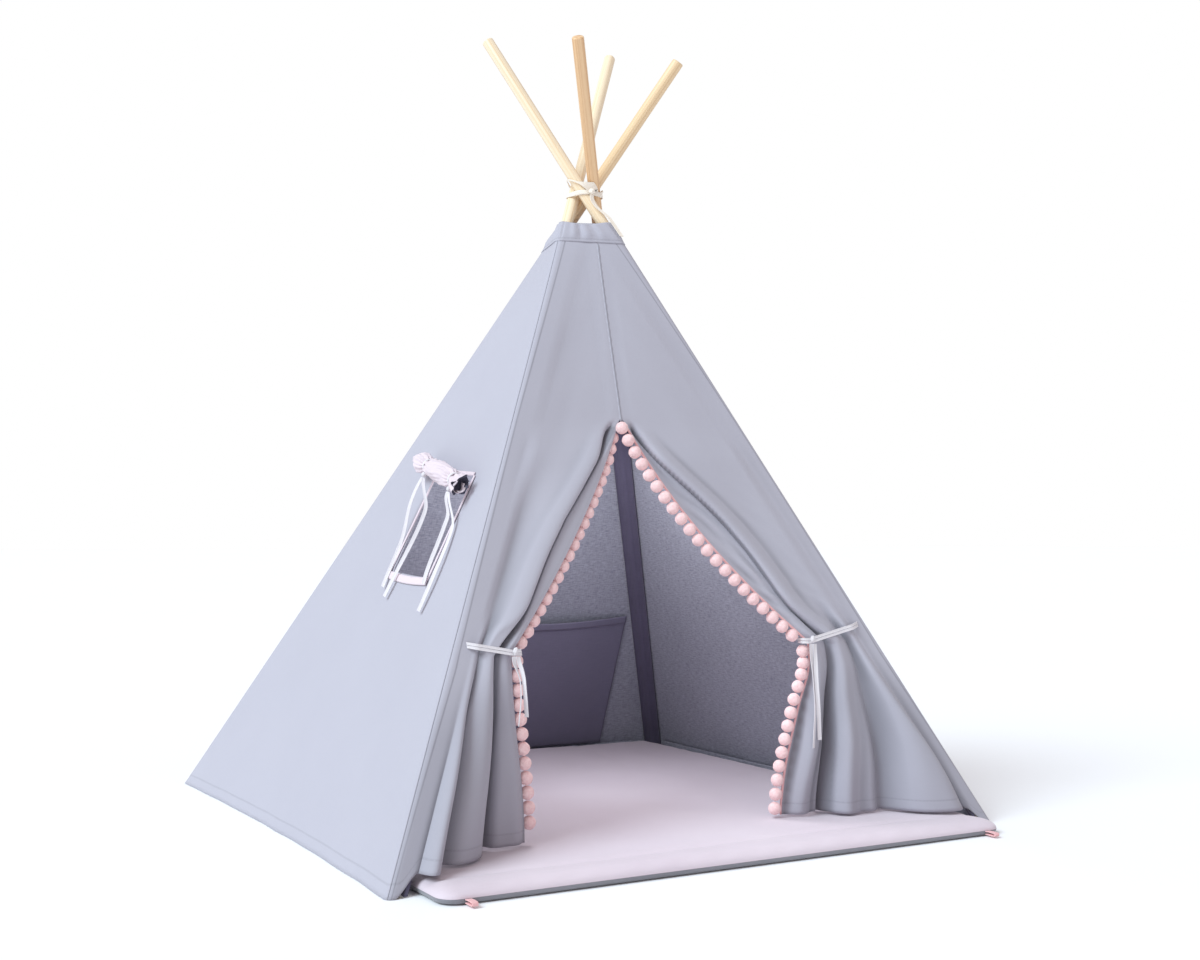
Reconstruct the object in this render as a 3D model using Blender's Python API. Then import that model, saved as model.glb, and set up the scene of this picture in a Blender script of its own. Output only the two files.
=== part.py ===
# Play teepee for children: four pine poles that cross under a lashing, a sewn cotton cover
# with a tied-back doorway, a rolled-up window and a pocket, and a padded mat on the floor.
# Metres, +Z up. The doorway faces -Y. The origin is on the floor, at the middle of the four feet.

import bpy
import bmesh
from math import asin, atan2, cos, degrees, pi, radians, sin, sqrt
from mathutils import Matrix, Vector

for old in list(bpy.data.objects):
    bpy.data.objects.remove(old, do_unlink=True)

# Fits shared by every piece
seat_gap = 0.0003
skin_gap = 0.0008
cut_overrun = 0.03

# Poles and the way they stand
base_half_width = 0.585
crossing_height = 1.211
crossing_forward = 0.109
crossing_step = 0.0208
pole_lengths = (1.82, 1.785, 1.82, 1.82)
pole_diameter = 0.023
pole_end_round = 0.003
pole_sides = 20
folded_lean = 3.0
full_lift = 0.85

# Cover
cloth_thick = 0.0016
cover_drop = 0.068
cover_top = crossing_height - cover_drop
wall_slack = 0.015
wall_columns = 8
corner_steps = 2
lower_row_shares = (0, 0.13, 0.3, 0.48, 0.66, 0.84)
upper_rows = 5
casing_rows = 2
hem_height = 0.020
hem_thick = 0.0012
hem_lift = 0.001

# Gathered casing round the top
band_drop = 0.040
band_rise = 0.003
band_thick = 0.0016
pleat_depth = 0.0028
pleats_a_side = 3
pleat_steps = 4

# Sleeves that hold the poles in the cover's corners
sleeve_thick = 0.0010
sleeve_flange = 0.022
sleeve_clear = 0.002
sleeve_lift = 0.002
sleeve_wrap_shares = (0.2, 0.35, 0.5, 0.65, 0.8)

# Doorway and its two curtains
doorway_aside = -0.030
apex_height = 0.745
notch_half_width = 0.006
tie_height = 0.343
tie_half_width = 0.300
foot_half_widths = (0.275, 0.240)
curtain_hem = 0.031
hem_lift_run = 0.030
curtain_columns = 22
curtain_rows_open = 6
curtain_rows_below = 6
fold_count = 3
fold_start = 0.024
fold_rise = 0.030
fold_at_apex = 0.001
fold_at_tie = 0.008
fold_at_foot = 0.026
fold_lean_share = 0.35
edge_calm_share = 0.12
edge_bow_share = 0.5
seam_width = 0.010
seam_thick = 0.0010
seam_clear = 0.003

# Pompom trim along the doorway
trim_width = 0.0045
trim_thick = 0.0014
pompom_diameter = 0.0232
pompom_pitch = 0.0245
pompom_seat = 0.0012
pompom_segments = 8
pompom_rings = 4
tie_clear = 0.020

# Tiebacks
tie_width = 0.011
tie_thick = 0.0012
tie_rises = (0.016, 0.028)
tie_outer_start = 0.010
tie_inner_start = 0.024
tie_turn_steps = 5
tie_leg_steps = 6
tie_knot_length = 0.016
tie_knot_across = 0.011
knot_segments = 8
knot_rings = 6
tail_width = 0.009
tail_thick = 0.0012
right_tail_drops = (0.175, 0.162)
left_tail_drops = (0.112, 0.098)
tail_flare_width = 0.004
tail_points = 12

# Window in the left wall
window_width = 0.200
window_height = 0.212
window_low = 0.467
window_aside = 0.082
binding_width = 0.012
binding_thick = 0.0014
roll_length = 0.285
roll_height = 0.651
roll_aside = 0.0625
roll_tilt = 11.8
roll_end_radius = 0.021
roll_neck_radius = 0.011
roll_radius = 0.020
roll_mouth_radius = 0.019
roll_mouth_depth = 0.010
roll_ease = 0.0016
roll_neck_shares = (0.20, 0.84)
roll_sides = 14
strap_width = 0.009
strap_thick = 0.0012
strap_knot = 0.011
ribbon_width = 0.008
ribbon_thick = 0.0010
ribbon_lengths = (0.231, 0.250, 0.182, 0.234)
ribbon_spread = 2.4
ribbon_drifts = (0.027, 0.047)
ribbon_points = 14

# Pocket inside the back wall
pocket_high_inset = 0.199
pocket_low_inset = 0.165
pocket_high_width = 0.436
pocket_low_width = 0.470
pocket_low = 0.024
pocket_high = 0.345
pocket_dip = 0.012
pocket_swell = 0.014
pocket_thick = 0.0012
pocket_hem_height = 0.016
pocket_hem_thick = 0.0012
pocket_columns = 10

# Mat
mat_half_width = 0.545
mat_front = 0.680
mat_back = 0.555
mat_corner = 0.030
mat_seam_height = 0.010
mat_height = 0.028
mat_channel_inset = 0.060
mat_channel_depth = 0.0025
mat_corner_steps = 4
loop_tape = 0.010
loop_length = 0.024
loop_thick = 0.0014
loop_gap = 0.0034

# Lashing
lash_width = 0.009
lash_thick = 0.0012
lash_ease = 0.0006
lash_drop = 0.004
lash_rise = 0.035
lash_skew_share = 0.6
lash_turns = 2
lash_steps = 24
lash_bearing = -84.0
lash_knot = 0.012
lash_tail_drop = 0.025
lash_tail_turn = 17.0
lash_tail_points = 9
lash_tail_quick = 1.7


def material(name, colour, roughness):
    made = bpy.data.materials.new(name)
    made.use_nodes = True
    shader = made.node_tree.nodes["Principled BSDF"]
    shader.inputs["Base Color"].default_value = (*colour, 1)
    shader.inputs["Roughness"].default_value = roughness
    shader.inputs["Metallic"].default_value = 0
    made.diffuse_color = (*colour, 1)
    return made


pine = material("pine", (0.76, 0.58, 0.36), 0.55)
pine_honey = material("pine_honey", (0.56, 0.37, 0.19), 0.55)
cover_grey = material("cover_grey", (0.42, 0.43, 0.50), 0.9)
pocket_grey = material("pocket_grey", (0.09, 0.08, 0.11), 0.9)
sleeve_grey = material("sleeve_grey", (0.12, 0.11, 0.15), 0.9)
lining_pink = material("lining_pink", (0.87, 0.78, 0.80), 0.9)
tape_white = material("tape_white", (0.83, 0.83, 0.80), 0.85)
pompom_pink = material("pompom_pink", (0.84, 0.50, 0.51), 0.95)
mat_pink = material("mat_pink", (0.76, 0.66, 0.72), 0.9)
mat_grey = material("mat_grey", (0.30, 0.30, 0.34), 0.9)
cord_cream = material("cord_cream", (0.80, 0.76, 0.68), 0.85)


def smooth(share):
    held = min(1, max(0, share))
    return held * held * (3 - 2 * held)


def keep(name, bm, paint):
    mesh = bpy.data.meshes.new(name)
    bm.normal_update()
    bm.to_mesh(mesh)
    bm.free()
    mesh.shade_smooth()
    mesh.set_sharp_from_angle(angle=radians(40))
    mesh.materials.append(paint)
    made = bpy.data.objects.new(name, mesh)
    bpy.context.scene.collection.objects.link(made)
    return made


def join(target, helper, operation):
    helper.hide_render = True
    helper.display_type = "WIRE"
    change = target.modifiers.new(helper.name, "BOOLEAN")
    change.operation = operation
    change.object = helper


# A sheet of cloth through rows of points. Rows climb and columns run so that their cross
# product points to the cloth's outer side; side 1 thickens it outwards and -1 inwards.
def sheet(name, rows, thick, paint, side=1, closed=False):
    bm = bmesh.new()
    grid = [[bm.verts.new(p) for p in row] for row in rows]
    for low, high in zip(grid, grid[1:]):
        count = len(low)
        for c in range(count if closed else count - 1):
            d = (c + 1) % count
            bm.faces.new((low[c], low[d], high[d], high[c]))
    made = keep(name, bm, paint)
    shell = made.modifiers.new("thickness", "SOLIDIFY")
    shell.thickness = thick
    shell.offset = side
    shell.use_even_offset = True
    return made


# One closed skin through rings of points, capped at both ends.
def loft_rings(bm, rings):
    grid = [[bm.verts.new(p) for p in ring] for ring in rings]
    for low, high in zip(grid, grid[1:]):
        for c in range(len(low)):
            d = (c + 1) % len(low)
            bm.faces.new((low[c], low[d], high[d], high[c]))
    bm.faces.new(list(reversed(grid[0])))
    bm.faces.new(grid[-1])


# Each pole passes the crossing's middle at crossing_step to its own left, seen from its foot,
# so that the four lie round each other and fold without touching.
class Pole:
    def __init__(self, name, across, back):
        self.name = name
        self.foot = Vector((across * base_half_width, back * base_half_width))
        middle = Vector((0, -crossing_forward))
        way = middle - self.foot
        turn = asin(crossing_step / way.length)
        self.along = Matrix.Rotation(turn, 2) @ way.normalized()
        self.side = Vector((-self.along.y, self.along.x))
        self.run = sqrt(way.length_squared - crossing_step**2)
        self.lean = atan2(self.run, crossing_height)
        passing = middle + self.side * crossing_step
        self.pivot = Vector((passing.x, passing.y, crossing_height))

    def centre(self, z):
        return self.foot + self.along * (self.run * z / crossing_height)

    # Point of the pole's level section, grown by gap, that faces the level direction.
    def rim(self, z, facing, gap):
        long_half = pole_diameter / 2 / cos(self.lean)
        short_half = pole_diameter / 2
        a = long_half * facing.dot(self.along)
        b = short_half * facing.dot(self.side)
        reach = sqrt(a * a + b * b)
        ellipse = self.along * (long_half * a) + self.side * (short_half * b)
        return self.centre(z) + ellipse / reach + facing * gap


# Heights that every panel shares, so that neighbours follow the same straight runs
casing_low = cover_top - band_drop
upper_levels = [apex_height + (casing_low - apex_height) * k / upper_rows for k in range(upper_rows)]
top_levels = [casing_low + band_drop * k / casing_rows for k in range(casing_rows + 1)]
lower_levels = [hem_height + (apex_height - hem_height) * share for share in lower_row_shares]
wall_levels = [0] + lower_levels + upper_levels + top_levels

poles = [
    Pole("pole_fl", -1, -1),
    Pole("pole_fr", 1, -1),
    Pole("pole_br", 1, 1),
    Pole("pole_bl", -1, 1),
]


def facing(i, z):
    step = poles[(i + 1) % 4].centre(z) - poles[i % 4].centre(z)
    return Vector((step.y, -step.x)).normalized()


def between(first, second, share):
    return (first * (1 - share) + second * share).normalized()


def wall_ends(i, z, gap):
    n = facing(i, z)
    return poles[i].rim(z, n, gap), poles[(i + 1) % 4].rim(z, n, gap), n


# How far a wall's plane leans back, from its foot line to the crossing.
def wall_lean(i):
    a, b, n = wall_ends(i, 0, 0)
    reach = (a - Vector((0, -crossing_forward))).dot(n)
    return atan2(reach, crossing_height)


def slack(i, share, z):
    if i == 0:
        return 0
    return wall_slack * sin(pi * share) * (1 - z / cover_top)


def raised(plan_point, z):
    return Vector((plan_point.x, plan_point.y, z))


# Point of wall i at a height, measured sideways from its middle line and out from its inner face.
def on_wall(i, sideways, z, out):
    a, b, n = wall_ends(i, z, skin_gap)
    share = 0.5 + sideways / (b - a).length
    spot = a.lerp(b, share) - n * slack(i, share, z) + n * (out / cos(wall_lean(i)))
    return raised(spot, z)


def corner_arc(i, z, gap, first, last):
    shares = [k / corner_steps for k in range(corner_steps + 1)]
    return [poles[i].rim(z, between(first, last, share), gap) for share in shares]


def wall_row(i, z, gap, columns):
    j = (i + 1) % 4
    n = facing(i, z)
    before = between(facing(i - 1, z), n, 0.5)
    after = between(n, facing(j, z), 0.5)
    start = corner_arc(i, z, gap, before, n)
    finish = corner_arc(j, z, gap, n, after)
    start[0] = start[0] + Vector((-before.y, before.x)) * seat_gap
    finish[-1] = finish[-1] - Vector((-after.y, after.x)) * seat_gap
    middle = []
    for k in range(1, columns):
        share = k / columns
        middle.append(start[-1].lerp(finish[0], share) - n * slack(i, share, z))
    return [raised(p, z) for p in start + middle + finish]


# Poles: turned from a profile, standing on the lowest point of their rounded feet.
def pole_profile(down, up):
    radius = pole_diameter / 2
    profile = []
    for k in range(3):
        angle = pi / 2 * k / 2
        inset = pole_end_round * (1 - cos(angle))
        profile.append((radius - pole_end_round + pole_end_round * sin(angle), inset))
    lower = [(r, -down + inset) for r, inset in profile]
    upper = [(r, up - inset) for r, inset in reversed(profile)]
    return lower + upper


def make_pole(pole, length, paint):
    radius = pole_diameter / 2
    reaches = []
    for k in range(3):
        angle = pi / 2 * k / 2
        r = radius - pole_end_round + pole_end_round * sin(angle)
        inset = pole_end_round * (1 - cos(angle))
        reaches.append((crossing_height - r * sin(pole.lean)) / cos(pole.lean) + inset)
    down = min(reaches)
    up = length - down
    bm = bmesh.new()
    rings = []
    for r, height in pole_profile(down, up):
        ring = []
        for k in range(pole_sides):
            angle = 2 * pi * k / pole_sides
            ring.append(Vector((r * cos(angle), r * sin(angle), height)))
        rings.append(ring)
    loft_rings(bm, rings)
    made = keep(pole.name, bm, paint)
    heading = atan2(pole.along.y, pole.along.x)
    made.location = pole.pivot
    made.rotation_euler = (0, pole.lean, heading)
    return made


for pole, length, paint in zip(poles, pole_lengths, (pine, pine, pine_honey, pine)):
    make_pole(pole, length, paint)

# Back, left and right walls
wall_names = {1: "wall_right", 2: "wall_back", 3: "wall_left"}
walls = {}
for i, name in wall_names.items():
    rows = [wall_row(i, z, skin_gap, wall_columns) for z in wall_levels]
    walls[name] = sheet(name, rows, cloth_thick, cover_grey)

# Hems turned up inside the three plain walls
for i, name in wall_names.items():
    rows = []
    for z in (hem_lift, hem_height):
        a, b, n = wall_ends(i, z, skin_gap)
        half = (b - a).length / 2 - sleeve_flange - pole_diameter
        row = []
        for k in range(wall_columns + 1):
            row.append(on_wall(i, half * (2 * k / wall_columns - 1), z, -2 * seat_gap))
        rows.append(row)
    sheet(name.replace("wall", "hem"), rows, hem_thick, cover_grey, side=-1)


# Sleeves: a strip sewn to both walls of a corner, which goes round the pole's inner side
def sleeve_row(i, z):
    pole = poles[i]
    before = facing(i - 1, z)
    after = facing(i, z)
    near = pole_diameter / 2 / cos(pole.lean) + sleeve_clear
    a, b, n = wall_ends(i - 1, z, skin_gap)
    back_half = (b - a).length / 2
    a, b, n = wall_ends(i, z, skin_gap)
    fore_half = (b - a).length / 2
    lift = -2 * seat_gap
    points = [
        on_wall((i - 1) % 4, back_half - sleeve_flange, z, lift),
        on_wall((i - 1) % 4, back_half - near, z, lift),
    ]
    for share in sleeve_wrap_shares:
        points.append(raised(pole.rim(z, -between(after, before, share), skin_gap), z))
    points.append(on_wall(i, near - fore_half, z, lift))
    points.append(on_wall(i, sleeve_flange - fore_half, z, lift))
    return points


sleeve_levels = [sleeve_lift] + lower_levels[1::2] + upper_levels
for i, pole in enumerate(poles):
    rows = [sleeve_row(i, z) for z in sleeve_levels]
    sheet(pole.name.replace("pole", "sleeve"), rows, sleeve_thick, sleeve_grey, side=-1)


# Gathered casing: one closed ring outside the walls' tops, pleated between the corners
def band_row(z):
    out = skin_gap + cloth_thick * 1.6 + seat_gap
    row = []
    for i in range(4):
        j = (i + 1) % 4
        n = facing(i, z)
        before = between(facing(i - 1, z), n, 0.5)
        after = between(n, facing(j, z), 0.5)
        start = corner_arc(i, z, out, before, n)
        finish = corner_arc(j, z, out, n, after)[:-1]
        steps = pleats_a_side * pleat_steps
        middle = []
        for k in range(1, steps):
            share = k / steps
            rise = pleat_depth * (0.5 - 0.5 * cos(2 * pi * pleats_a_side * share))
            middle.append(start[-1].lerp(finish[0], share) + n * rise)
        row += start + middle + finish
    return [raised(p, z) for p in row]


band_rows = [band_row(z) for z in top_levels[:-1] + [cover_top + band_rise]]
sheet("top_casing", band_rows, band_thick, cover_grey, closed=True)


# Doorway curtains
def seam_x(z):
    return doorway_aside * (cover_top - z) / (cover_top - apex_height)


def front_y(x, z):
    a, b, n = wall_ends(0, z, skin_gap)
    return a.y + (b.y - a.y) * (x - a.x) / (b.x - a.x)


def doorway_half(side, z):
    if z >= tie_height:
        t = (apex_height - z) / (apex_height - tie_height)
        return notch_half_width + (tie_half_width - notch_half_width) * t * (1 - edge_bow_share + edge_bow_share * t)
    s = (tie_height - z) / (tie_height - curtain_hem)
    foot_half = foot_half_widths[1 if side > 0 else 0]
    return tie_half_width + (foot_half - tie_half_width) * smooth(s)


def curtain_point(side, u, z, out=0):
    pole = poles[1] if side > 0 else poles[0]
    n = facing(0, z)
    start = pole.rim(z, n, skin_gap)
    if z >= apex_height:
        x = seam_x(z) + side * seat_gap
        back = 0
        swing = 0
    else:
        x = doorway_aside + side * doorway_half(side, z)
        if z >= tie_height:
            back = 0
            t = (apex_height - z) / (apex_height - tie_height)
            swing = fold_at_apex + (fold_at_tie - fold_at_apex) * t * t
        else:
            x_tied = doorway_aside + side * tie_half_width
            back = front_y(x_tied, tie_height) - front_y(x, z)
            s = (tie_height - z) / (tie_height - curtain_hem)
            swing = fold_at_tie + (fold_at_foot - fold_at_tie) * smooth(s)
    finish = Vector((x, front_y(x, z)))
    width = (finish - start).length
    reach = u * width
    spread = smooth((reach - fold_start) / fold_rise)
    calm = smooth((1 - u) / edge_calm_share)
    wave = 2 * pi * fold_count * u
    push = swing * spread * calm
    along = (finish - start).normalized()
    spot = start.lerp(finish, u)
    spot += n * (push * sin(wave) - back * smooth((reach - fold_start) / (width - fold_start)))
    spot += along * (push * fold_lean_share * (cos(wave) - 1))
    return raised(spot + n * out, z)


def curtain_levels():
    levels = []
    for k in range(curtain_rows_below):
        levels.append(curtain_hem + (tie_height - curtain_hem) * k / curtain_rows_below)
    for k in range(curtain_rows_open):
        levels.append(tie_height + (apex_height - tie_height) * k / curtain_rows_open)
    return levels + upper_levels + top_levels


# The hem rests just over the mat, and comes down to the floor at the pole.
def curtain_row(side, level):
    corner = 1 if side > 0 else 0
    drop = curtain_hem * (cover_top - level) / (cover_top - curtain_hem)
    low = level - drop
    n = facing(0, low)
    other = facing(1, low) if side > 0 else facing(3, low)
    seam = between(n, other, 0.5)
    arc = corner_arc(corner, low, skin_gap, seam, n)
    turn = Vector((-seam.y, seam.x)) * (-side * seat_gap)
    arc[0] = arc[0] + turn
    row = [raised(p, low) for p in arc[:-1]]
    width = (curtain_point(side, 1, level) - curtain_point(side, 0, level)).length
    for k in range(curtain_columns + 1):
        u = k / curtain_columns
        z = level - drop * (1 - smooth(u * width / hem_lift_run))
        row.append(curtain_point(side, u, z))
    return row if side < 0 else list(reversed(row))


for side, name in ((-1, "curtain_left"), (1, "curtain_right")):
    rows = [curtain_row(side, level) for level in curtain_levels()]
    sheet(name, rows, cloth_thick, cover_grey)

# Felled seam that joins the two front halves above the doorway
seam_out = (cloth_thick + 3 * seat_gap) / cos(wall_lean(0))
seam_rows = []
for z in upper_levels + [casing_low - seam_clear]:
    row = []
    for end in (-1, 1):
        x = seam_x(z) + end * seam_width / 2
        row.append(Vector((x, front_y(x, z) - seam_out, z)))
    seam_rows.append(row)
sheet("front_seam", seam_rows, seam_thick, cover_grey)


# The doorway's edge, as points from the apex down, each with the way that leaves the cloth
def edge_line(side):
    spots = [curtain_point(side, 1, z) for z in reversed(curtain_levels()) if z < apex_height]
    line = []
    for k, spot in enumerate(spots):
        down = spots[min(k + 1, len(spots) - 1)] - spots[max(k - 1, 0)]
        outward = Vector((0, -cos(wall_lean(0)), sin(wall_lean(0))))
        if spot.z < tie_height:
            outward = Vector((0, -1, 0))
        away = down.cross(outward).normalized() * side
        line.append((spot, away, outward))
    return line


def add_ball(bm, middle, toward, sizes, segments, rings):
    turn = toward.to_track_quat("Z", "Y").to_matrix().to_4x4()
    bmesh.ops.create_uvsphere(
        bm,
        u_segments=segments,
        v_segments=rings,
        radius=1 / 2,
        matrix=Matrix.Translation(middle) @ turn @ Matrix.Diagonal((*sizes, 1)),
    )


# Trim: a narrow tape along each edge, with a pompom sewn on at each pitch
def trim_balls(side):
    centres = []
    line = edge_line(side)
    due = pompom_pitch / 2
    for (a, away_a, out_a), (b, away_b, out_b) in zip(line, line[1:]):
        length = (b - a).length
        while due < length:
            share = due / length
            away = away_a.lerp(away_b, share).normalized()
            reach = 2 * seat_gap + trim_width - pompom_seat + pompom_diameter / 2
            middle = a.lerp(b, share) + away * reach + out_a * (trim_thick / 2)
            clear = side * (middle.x - doorway_aside) > pompom_diameter / 2 + seat_gap
            beside_tie = abs(middle.z - tie_height) < tie_clear
            over_mat = middle.z - pompom_diameter / 2 > mat_height + seat_gap
            if clear and over_mat and not beside_tie:
                centres.append((middle, away))
            due += pompom_pitch
        due -= length
    return centres


for side, name in ((-1, "pompom_trim_left"), (1, "pompom_trim_right")):
    rows = []
    for spot, away, outward in edge_line(side):
        near = spot + away * 2 * seat_gap
        far = near + away * trim_width
        rows.append([near, far] if side < 0 else [far, near])
    tape = sheet(name, list(reversed(rows)), trim_thick, pompom_pink)
    bm = bmesh.new()
    for middle, away in trim_balls(side):
        add_ball(bm, middle, away, [pompom_diameter] * 3, pompom_segments, pompom_rings)
    join(tape, keep(name + "_balls", bm, pompom_pink), "UNION")

# Tiebacks: a tape from the pole's corner, round the gathered curtain and back
def tie_path(side):
    clear_out = 2 * cloth_thick + fold_at_tie + 3 * seat_gap
    path = []
    rise = tie_rises[1 if side > 0 else 0]
    start = curtain_point(side, 0, tie_height + rise)
    finish = curtain_point(side, 1, tie_height)
    width = (finish - start).length
    inner_share = tie_inner_start / width
    outer_share = tie_outer_start / width

    def place(u, out):
        z = tie_height + rise * (1 - u)
        x = start.x + (finish.x - start.x) * u
        n = facing(0, z)
        base = Vector((x, front_y(x, z)))
        return raised(base + n * out, z)

    for k in range(tie_leg_steps + 1):
        u = inner_share + (1 - inner_share) * k / tie_leg_steps
        gap = 2 * seat_gap if k == 0 else clear_out
        path.append(place(u, -gap))
    reach = trim_width + 4 * seat_gap
    mid_out = cloth_thick / 2
    half = clear_out
    for k in range(1, tie_turn_steps):
        angle = pi * k / tie_turn_steps
        spot = place(1, mid_out - half * cos(angle))
        spot.x -= side * (reach + half * sin(angle)) * min(1, 2 * sin(angle))
        path.append(spot)
    for k in range(tie_leg_steps + 1):
        u = 1 - (1 - outer_share) * k / tie_leg_steps
        gap = clear_out if k < tie_leg_steps else 1.5 * cloth_thick + 2 * seat_gap
        path.append(place(u, gap))
    return path


tie_knots = {}
for side, name in ((-1, "left"), (1, "right")):
    path = tie_path(side)
    climb = Vector((0, sin(wall_lean(0)), cos(wall_lean(0))))
    lower = [p - climb * (tie_width / 2) for p in path]
    upper = [p + climb * (tie_width / 2) for p in path]
    if side < 0:
        lower.reverse()
        upper.reverse()
    sheet("tieback_" + name, [lower, upper], tie_thick, tape_white)
    off_tape = Vector((0, -climb.z, climb.y))
    knot_reach = sqrt((tie_knot_across * climb.z) ** 2 + (tie_knot_length * climb.y) ** 2) / 2
    knot = path[tie_leg_steps + tie_turn_steps] + off_tape * (tie_thick + knot_reach + seat_gap)
    tie_knots[side] = knot
    bm = bmesh.new()
    sizes = (tie_knot_across, tie_knot_length, tie_knot_across)
    add_ball(bm, knot, Vector((0, 1, 0)), sizes, knot_segments, knot_rings)
    keep("tie_knot_" + name, bm, tape_white)


# A flat tape that hangs free, along a route, with its width along a level direction
def ribbon(name, route, width, thick, across, paint):
    rows = [[p - across * (width / 2), p + across * (width / 2)] for p in reversed(route)]
    return sheet(name, rows, thick, paint)


def tail_route(side, which, drop):
    knot = tie_knots[side]
    route = []
    for k in range(tail_points):
        share = k / (tail_points - 1)
        fall = tie_knot_length / 2 + seat_gap + drop * share
        aside = (which - 0.5) * (tail_width + 2 * seat_gap + tail_flare_width * smooth(share))
        spot = knot + Vector((aside, 0, -fall))
        route.append(spot)
    return route


for side, name, drops in ((-1, "left", left_tail_drops), (1, "right", right_tail_drops)):
    for which, drop in enumerate(drops):
        label = "tie_tail_" + name + "_" + "ab"[which]
        route = tail_route(side, which, drop)
        ribbon(label, route, tail_width, tail_thick, Vector((1, 0, 0)), tape_white)

# Window: a square opening cut through the left wall, bound round its edge
left_lean = wall_lean(3)
window_middle = window_low + window_height / 2 * cos(left_lean)


def wall_frame(i, sideways, z):
    origin = on_wall(i, sideways, z, 0)
    across = (on_wall(i, sideways + window_width / 4, z, 0) - origin).normalized()
    climb = (on_wall(i, sideways, z + window_height / 4, 0) - origin).normalized()
    out = across.cross(climb).normalized()
    climb = out.cross(across)
    return origin, across, climb, out


origin, across, climb, out = wall_frame(3, window_aside, window_middle)
bm = bmesh.new()
bmesh.ops.create_cube(bm, size=1)
cutter = keep("window_cutter", bm, cover_grey)
turn = Matrix((across, -out, climb)).transposed().to_4x4()
sizes = Matrix.Diagonal((window_width, 2 * cut_overrun, window_height, 1))
cutter.data.transform(Matrix.Translation(origin) @ turn @ sizes)
join(walls["wall_left"], cutter, "DIFFERENCE")


def window_loop(grow, out):
    half_across = window_width / 2 + grow
    half_up = window_height / 2 + grow
    steps = 4
    corners = ((-1, -1), (1, -1), (1, 1), (-1, 1))
    loop = []
    for a, b in zip(corners, corners[1:] + corners[:1]):
        for k in range(steps):
            x = (a[0] + (b[0] - a[0]) * k / steps) * half_across
            y = (a[1] + (b[1] - a[1]) * k / steps) * half_up
            z = window_middle + y * cos(left_lean)
            loop.append(on_wall(3, window_aside + x, z, out))
    return loop


binding_out = cloth_thick + 3 * seat_gap
binding_rows = [window_loop(binding_width, binding_out), window_loop(-seat_gap, binding_out)]
sheet("window_binding", binding_rows, binding_thick, lining_pink, closed=True)

# Window flap, rolled up over the opening's top and tied at two necks, its open end hanging lower
roll_out = binding_out + binding_thick + roll_end_radius + roll_ease
roll_origin, level_across, level_climb, roll_face = wall_frame(3, roll_aside, roll_height)
roll_across = level_across * cos(radians(roll_tilt)) - level_climb * sin(radians(roll_tilt))
roll_climb = level_climb * cos(radians(roll_tilt)) + level_across * sin(radians(roll_tilt))
roll_middle = roll_origin + roll_face * roll_out
neck_a, neck_b = roll_neck_shares
neck_half = (strap_width / 2 + seat_gap) / roll_length
strap_radius = roll_neck_radius + 2 * seat_gap
roll_profile = (
    (0, roll_end_radius * 0.62),
    (neck_a * 0.14, roll_end_radius * 0.9),
    (neck_a * 0.45, roll_end_radius),
    (neck_a * 0.75, roll_end_radius * 0.78),
    (neck_a - neck_half, roll_neck_radius),
    (neck_a + neck_half, roll_neck_radius),
    (neck_a + 0.08, roll_radius * 0.86),
    (neck_a + 0.2, roll_radius),
    (neck_b - 0.2, roll_radius),
    (neck_b - 0.08, roll_radius * 0.86),
    (neck_b - neck_half, roll_neck_radius),
    (neck_b + neck_half, roll_neck_radius),
    (neck_b + 0.07, roll_mouth_radius * 0.85),
    (1, roll_mouth_radius),
)


def roll_ring(share, radius, depth=0):
    along = roll_across * (roll_length * (share - 0.5) - depth)
    ring = []
    for k in range(roll_sides):
        angle = 2 * pi * k / roll_sides
        ring.append(roll_middle + along + roll_climb * radius * cos(angle) + roll_face * radius * sin(angle))
    return ring


bm = bmesh.new()
rings = [roll_ring(share, radius) for share, radius in roll_profile]
rings.append(roll_ring(1, roll_mouth_radius * 0.72))
rings.append(roll_ring(1, roll_mouth_radius * 0.5, roll_mouth_depth))
rings = [list(reversed(ring)) for ring in rings]
loft_rings(bm, rings)
bmesh.ops.recalc_face_normals(bm, faces=bm.faces[:])
keep("window_roll", bm, lining_pink)

# Straps round the roll's necks, their knots, and the ribbons that hang from them
for index, share in enumerate(roll_neck_shares):
    label = ("back", "front")[index]
    rows = []
    for end in (-1, 1):
        ring = []
        for k in range(roll_sides):
            angle = 2 * pi * k / roll_sides
            around = roll_climb * cos(angle) + roll_face * sin(angle)
            along = roll_across * (roll_length * (share - 0.5) + end * strap_width / 2)
            ring.append(roll_middle + along + around * strap_radius)
        rows.append(ring)
    sheet("window_strap_" + label, rows, strap_thick, tape_white, closed=True)
    neck = roll_middle + roll_across * (roll_length * (share - 0.5))
    down_out = (roll_face - roll_climb).normalized()
    knot = neck + down_out * (strap_radius + strap_thick + strap_knot / 2 + seat_gap)
    bm = bmesh.new()
    add_ball(bm, knot, down_out, [strap_knot] * 3, knot_segments, knot_rings)
    keep("window_knot_" + label, bm, tape_white)
    for which in (0, 1):
        length = ribbon_lengths[2 * index + which]
        side_step = (which - 0.5) * (ribbon_width + 2 * seat_gap)
        start = knot - Vector((0, 0, strap_knot / 2 + seat_gap))
        at = roll_aside + roll_length * (share - 0.5)
        hang = (start - on_wall(3, at, start.z, 0)).dot(roll_face)
        rest = binding_out + binding_thick + 2 * seat_gap
        route = []
        for k in range(ribbon_points):
            s = k / (ribbon_points - 1)
            z = start.z - length * cos(left_lean) * s
            sideways = at + side_step * (1 + ribbon_spread * smooth(s)) + ribbon_drifts[index] * s
            route.append(on_wall(3, sideways, z, rest + (hang - rest) * (1 - smooth(s * 2.2))))
        name = "window_ribbon_" + label + "_" + "ab"[which]
        ribbon(name, route, ribbon_width, ribbon_thick, roll_across, tape_white)

# Pocket on the inside of the back wall, open at the top, its mouth hemmed and sagging a little


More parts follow.
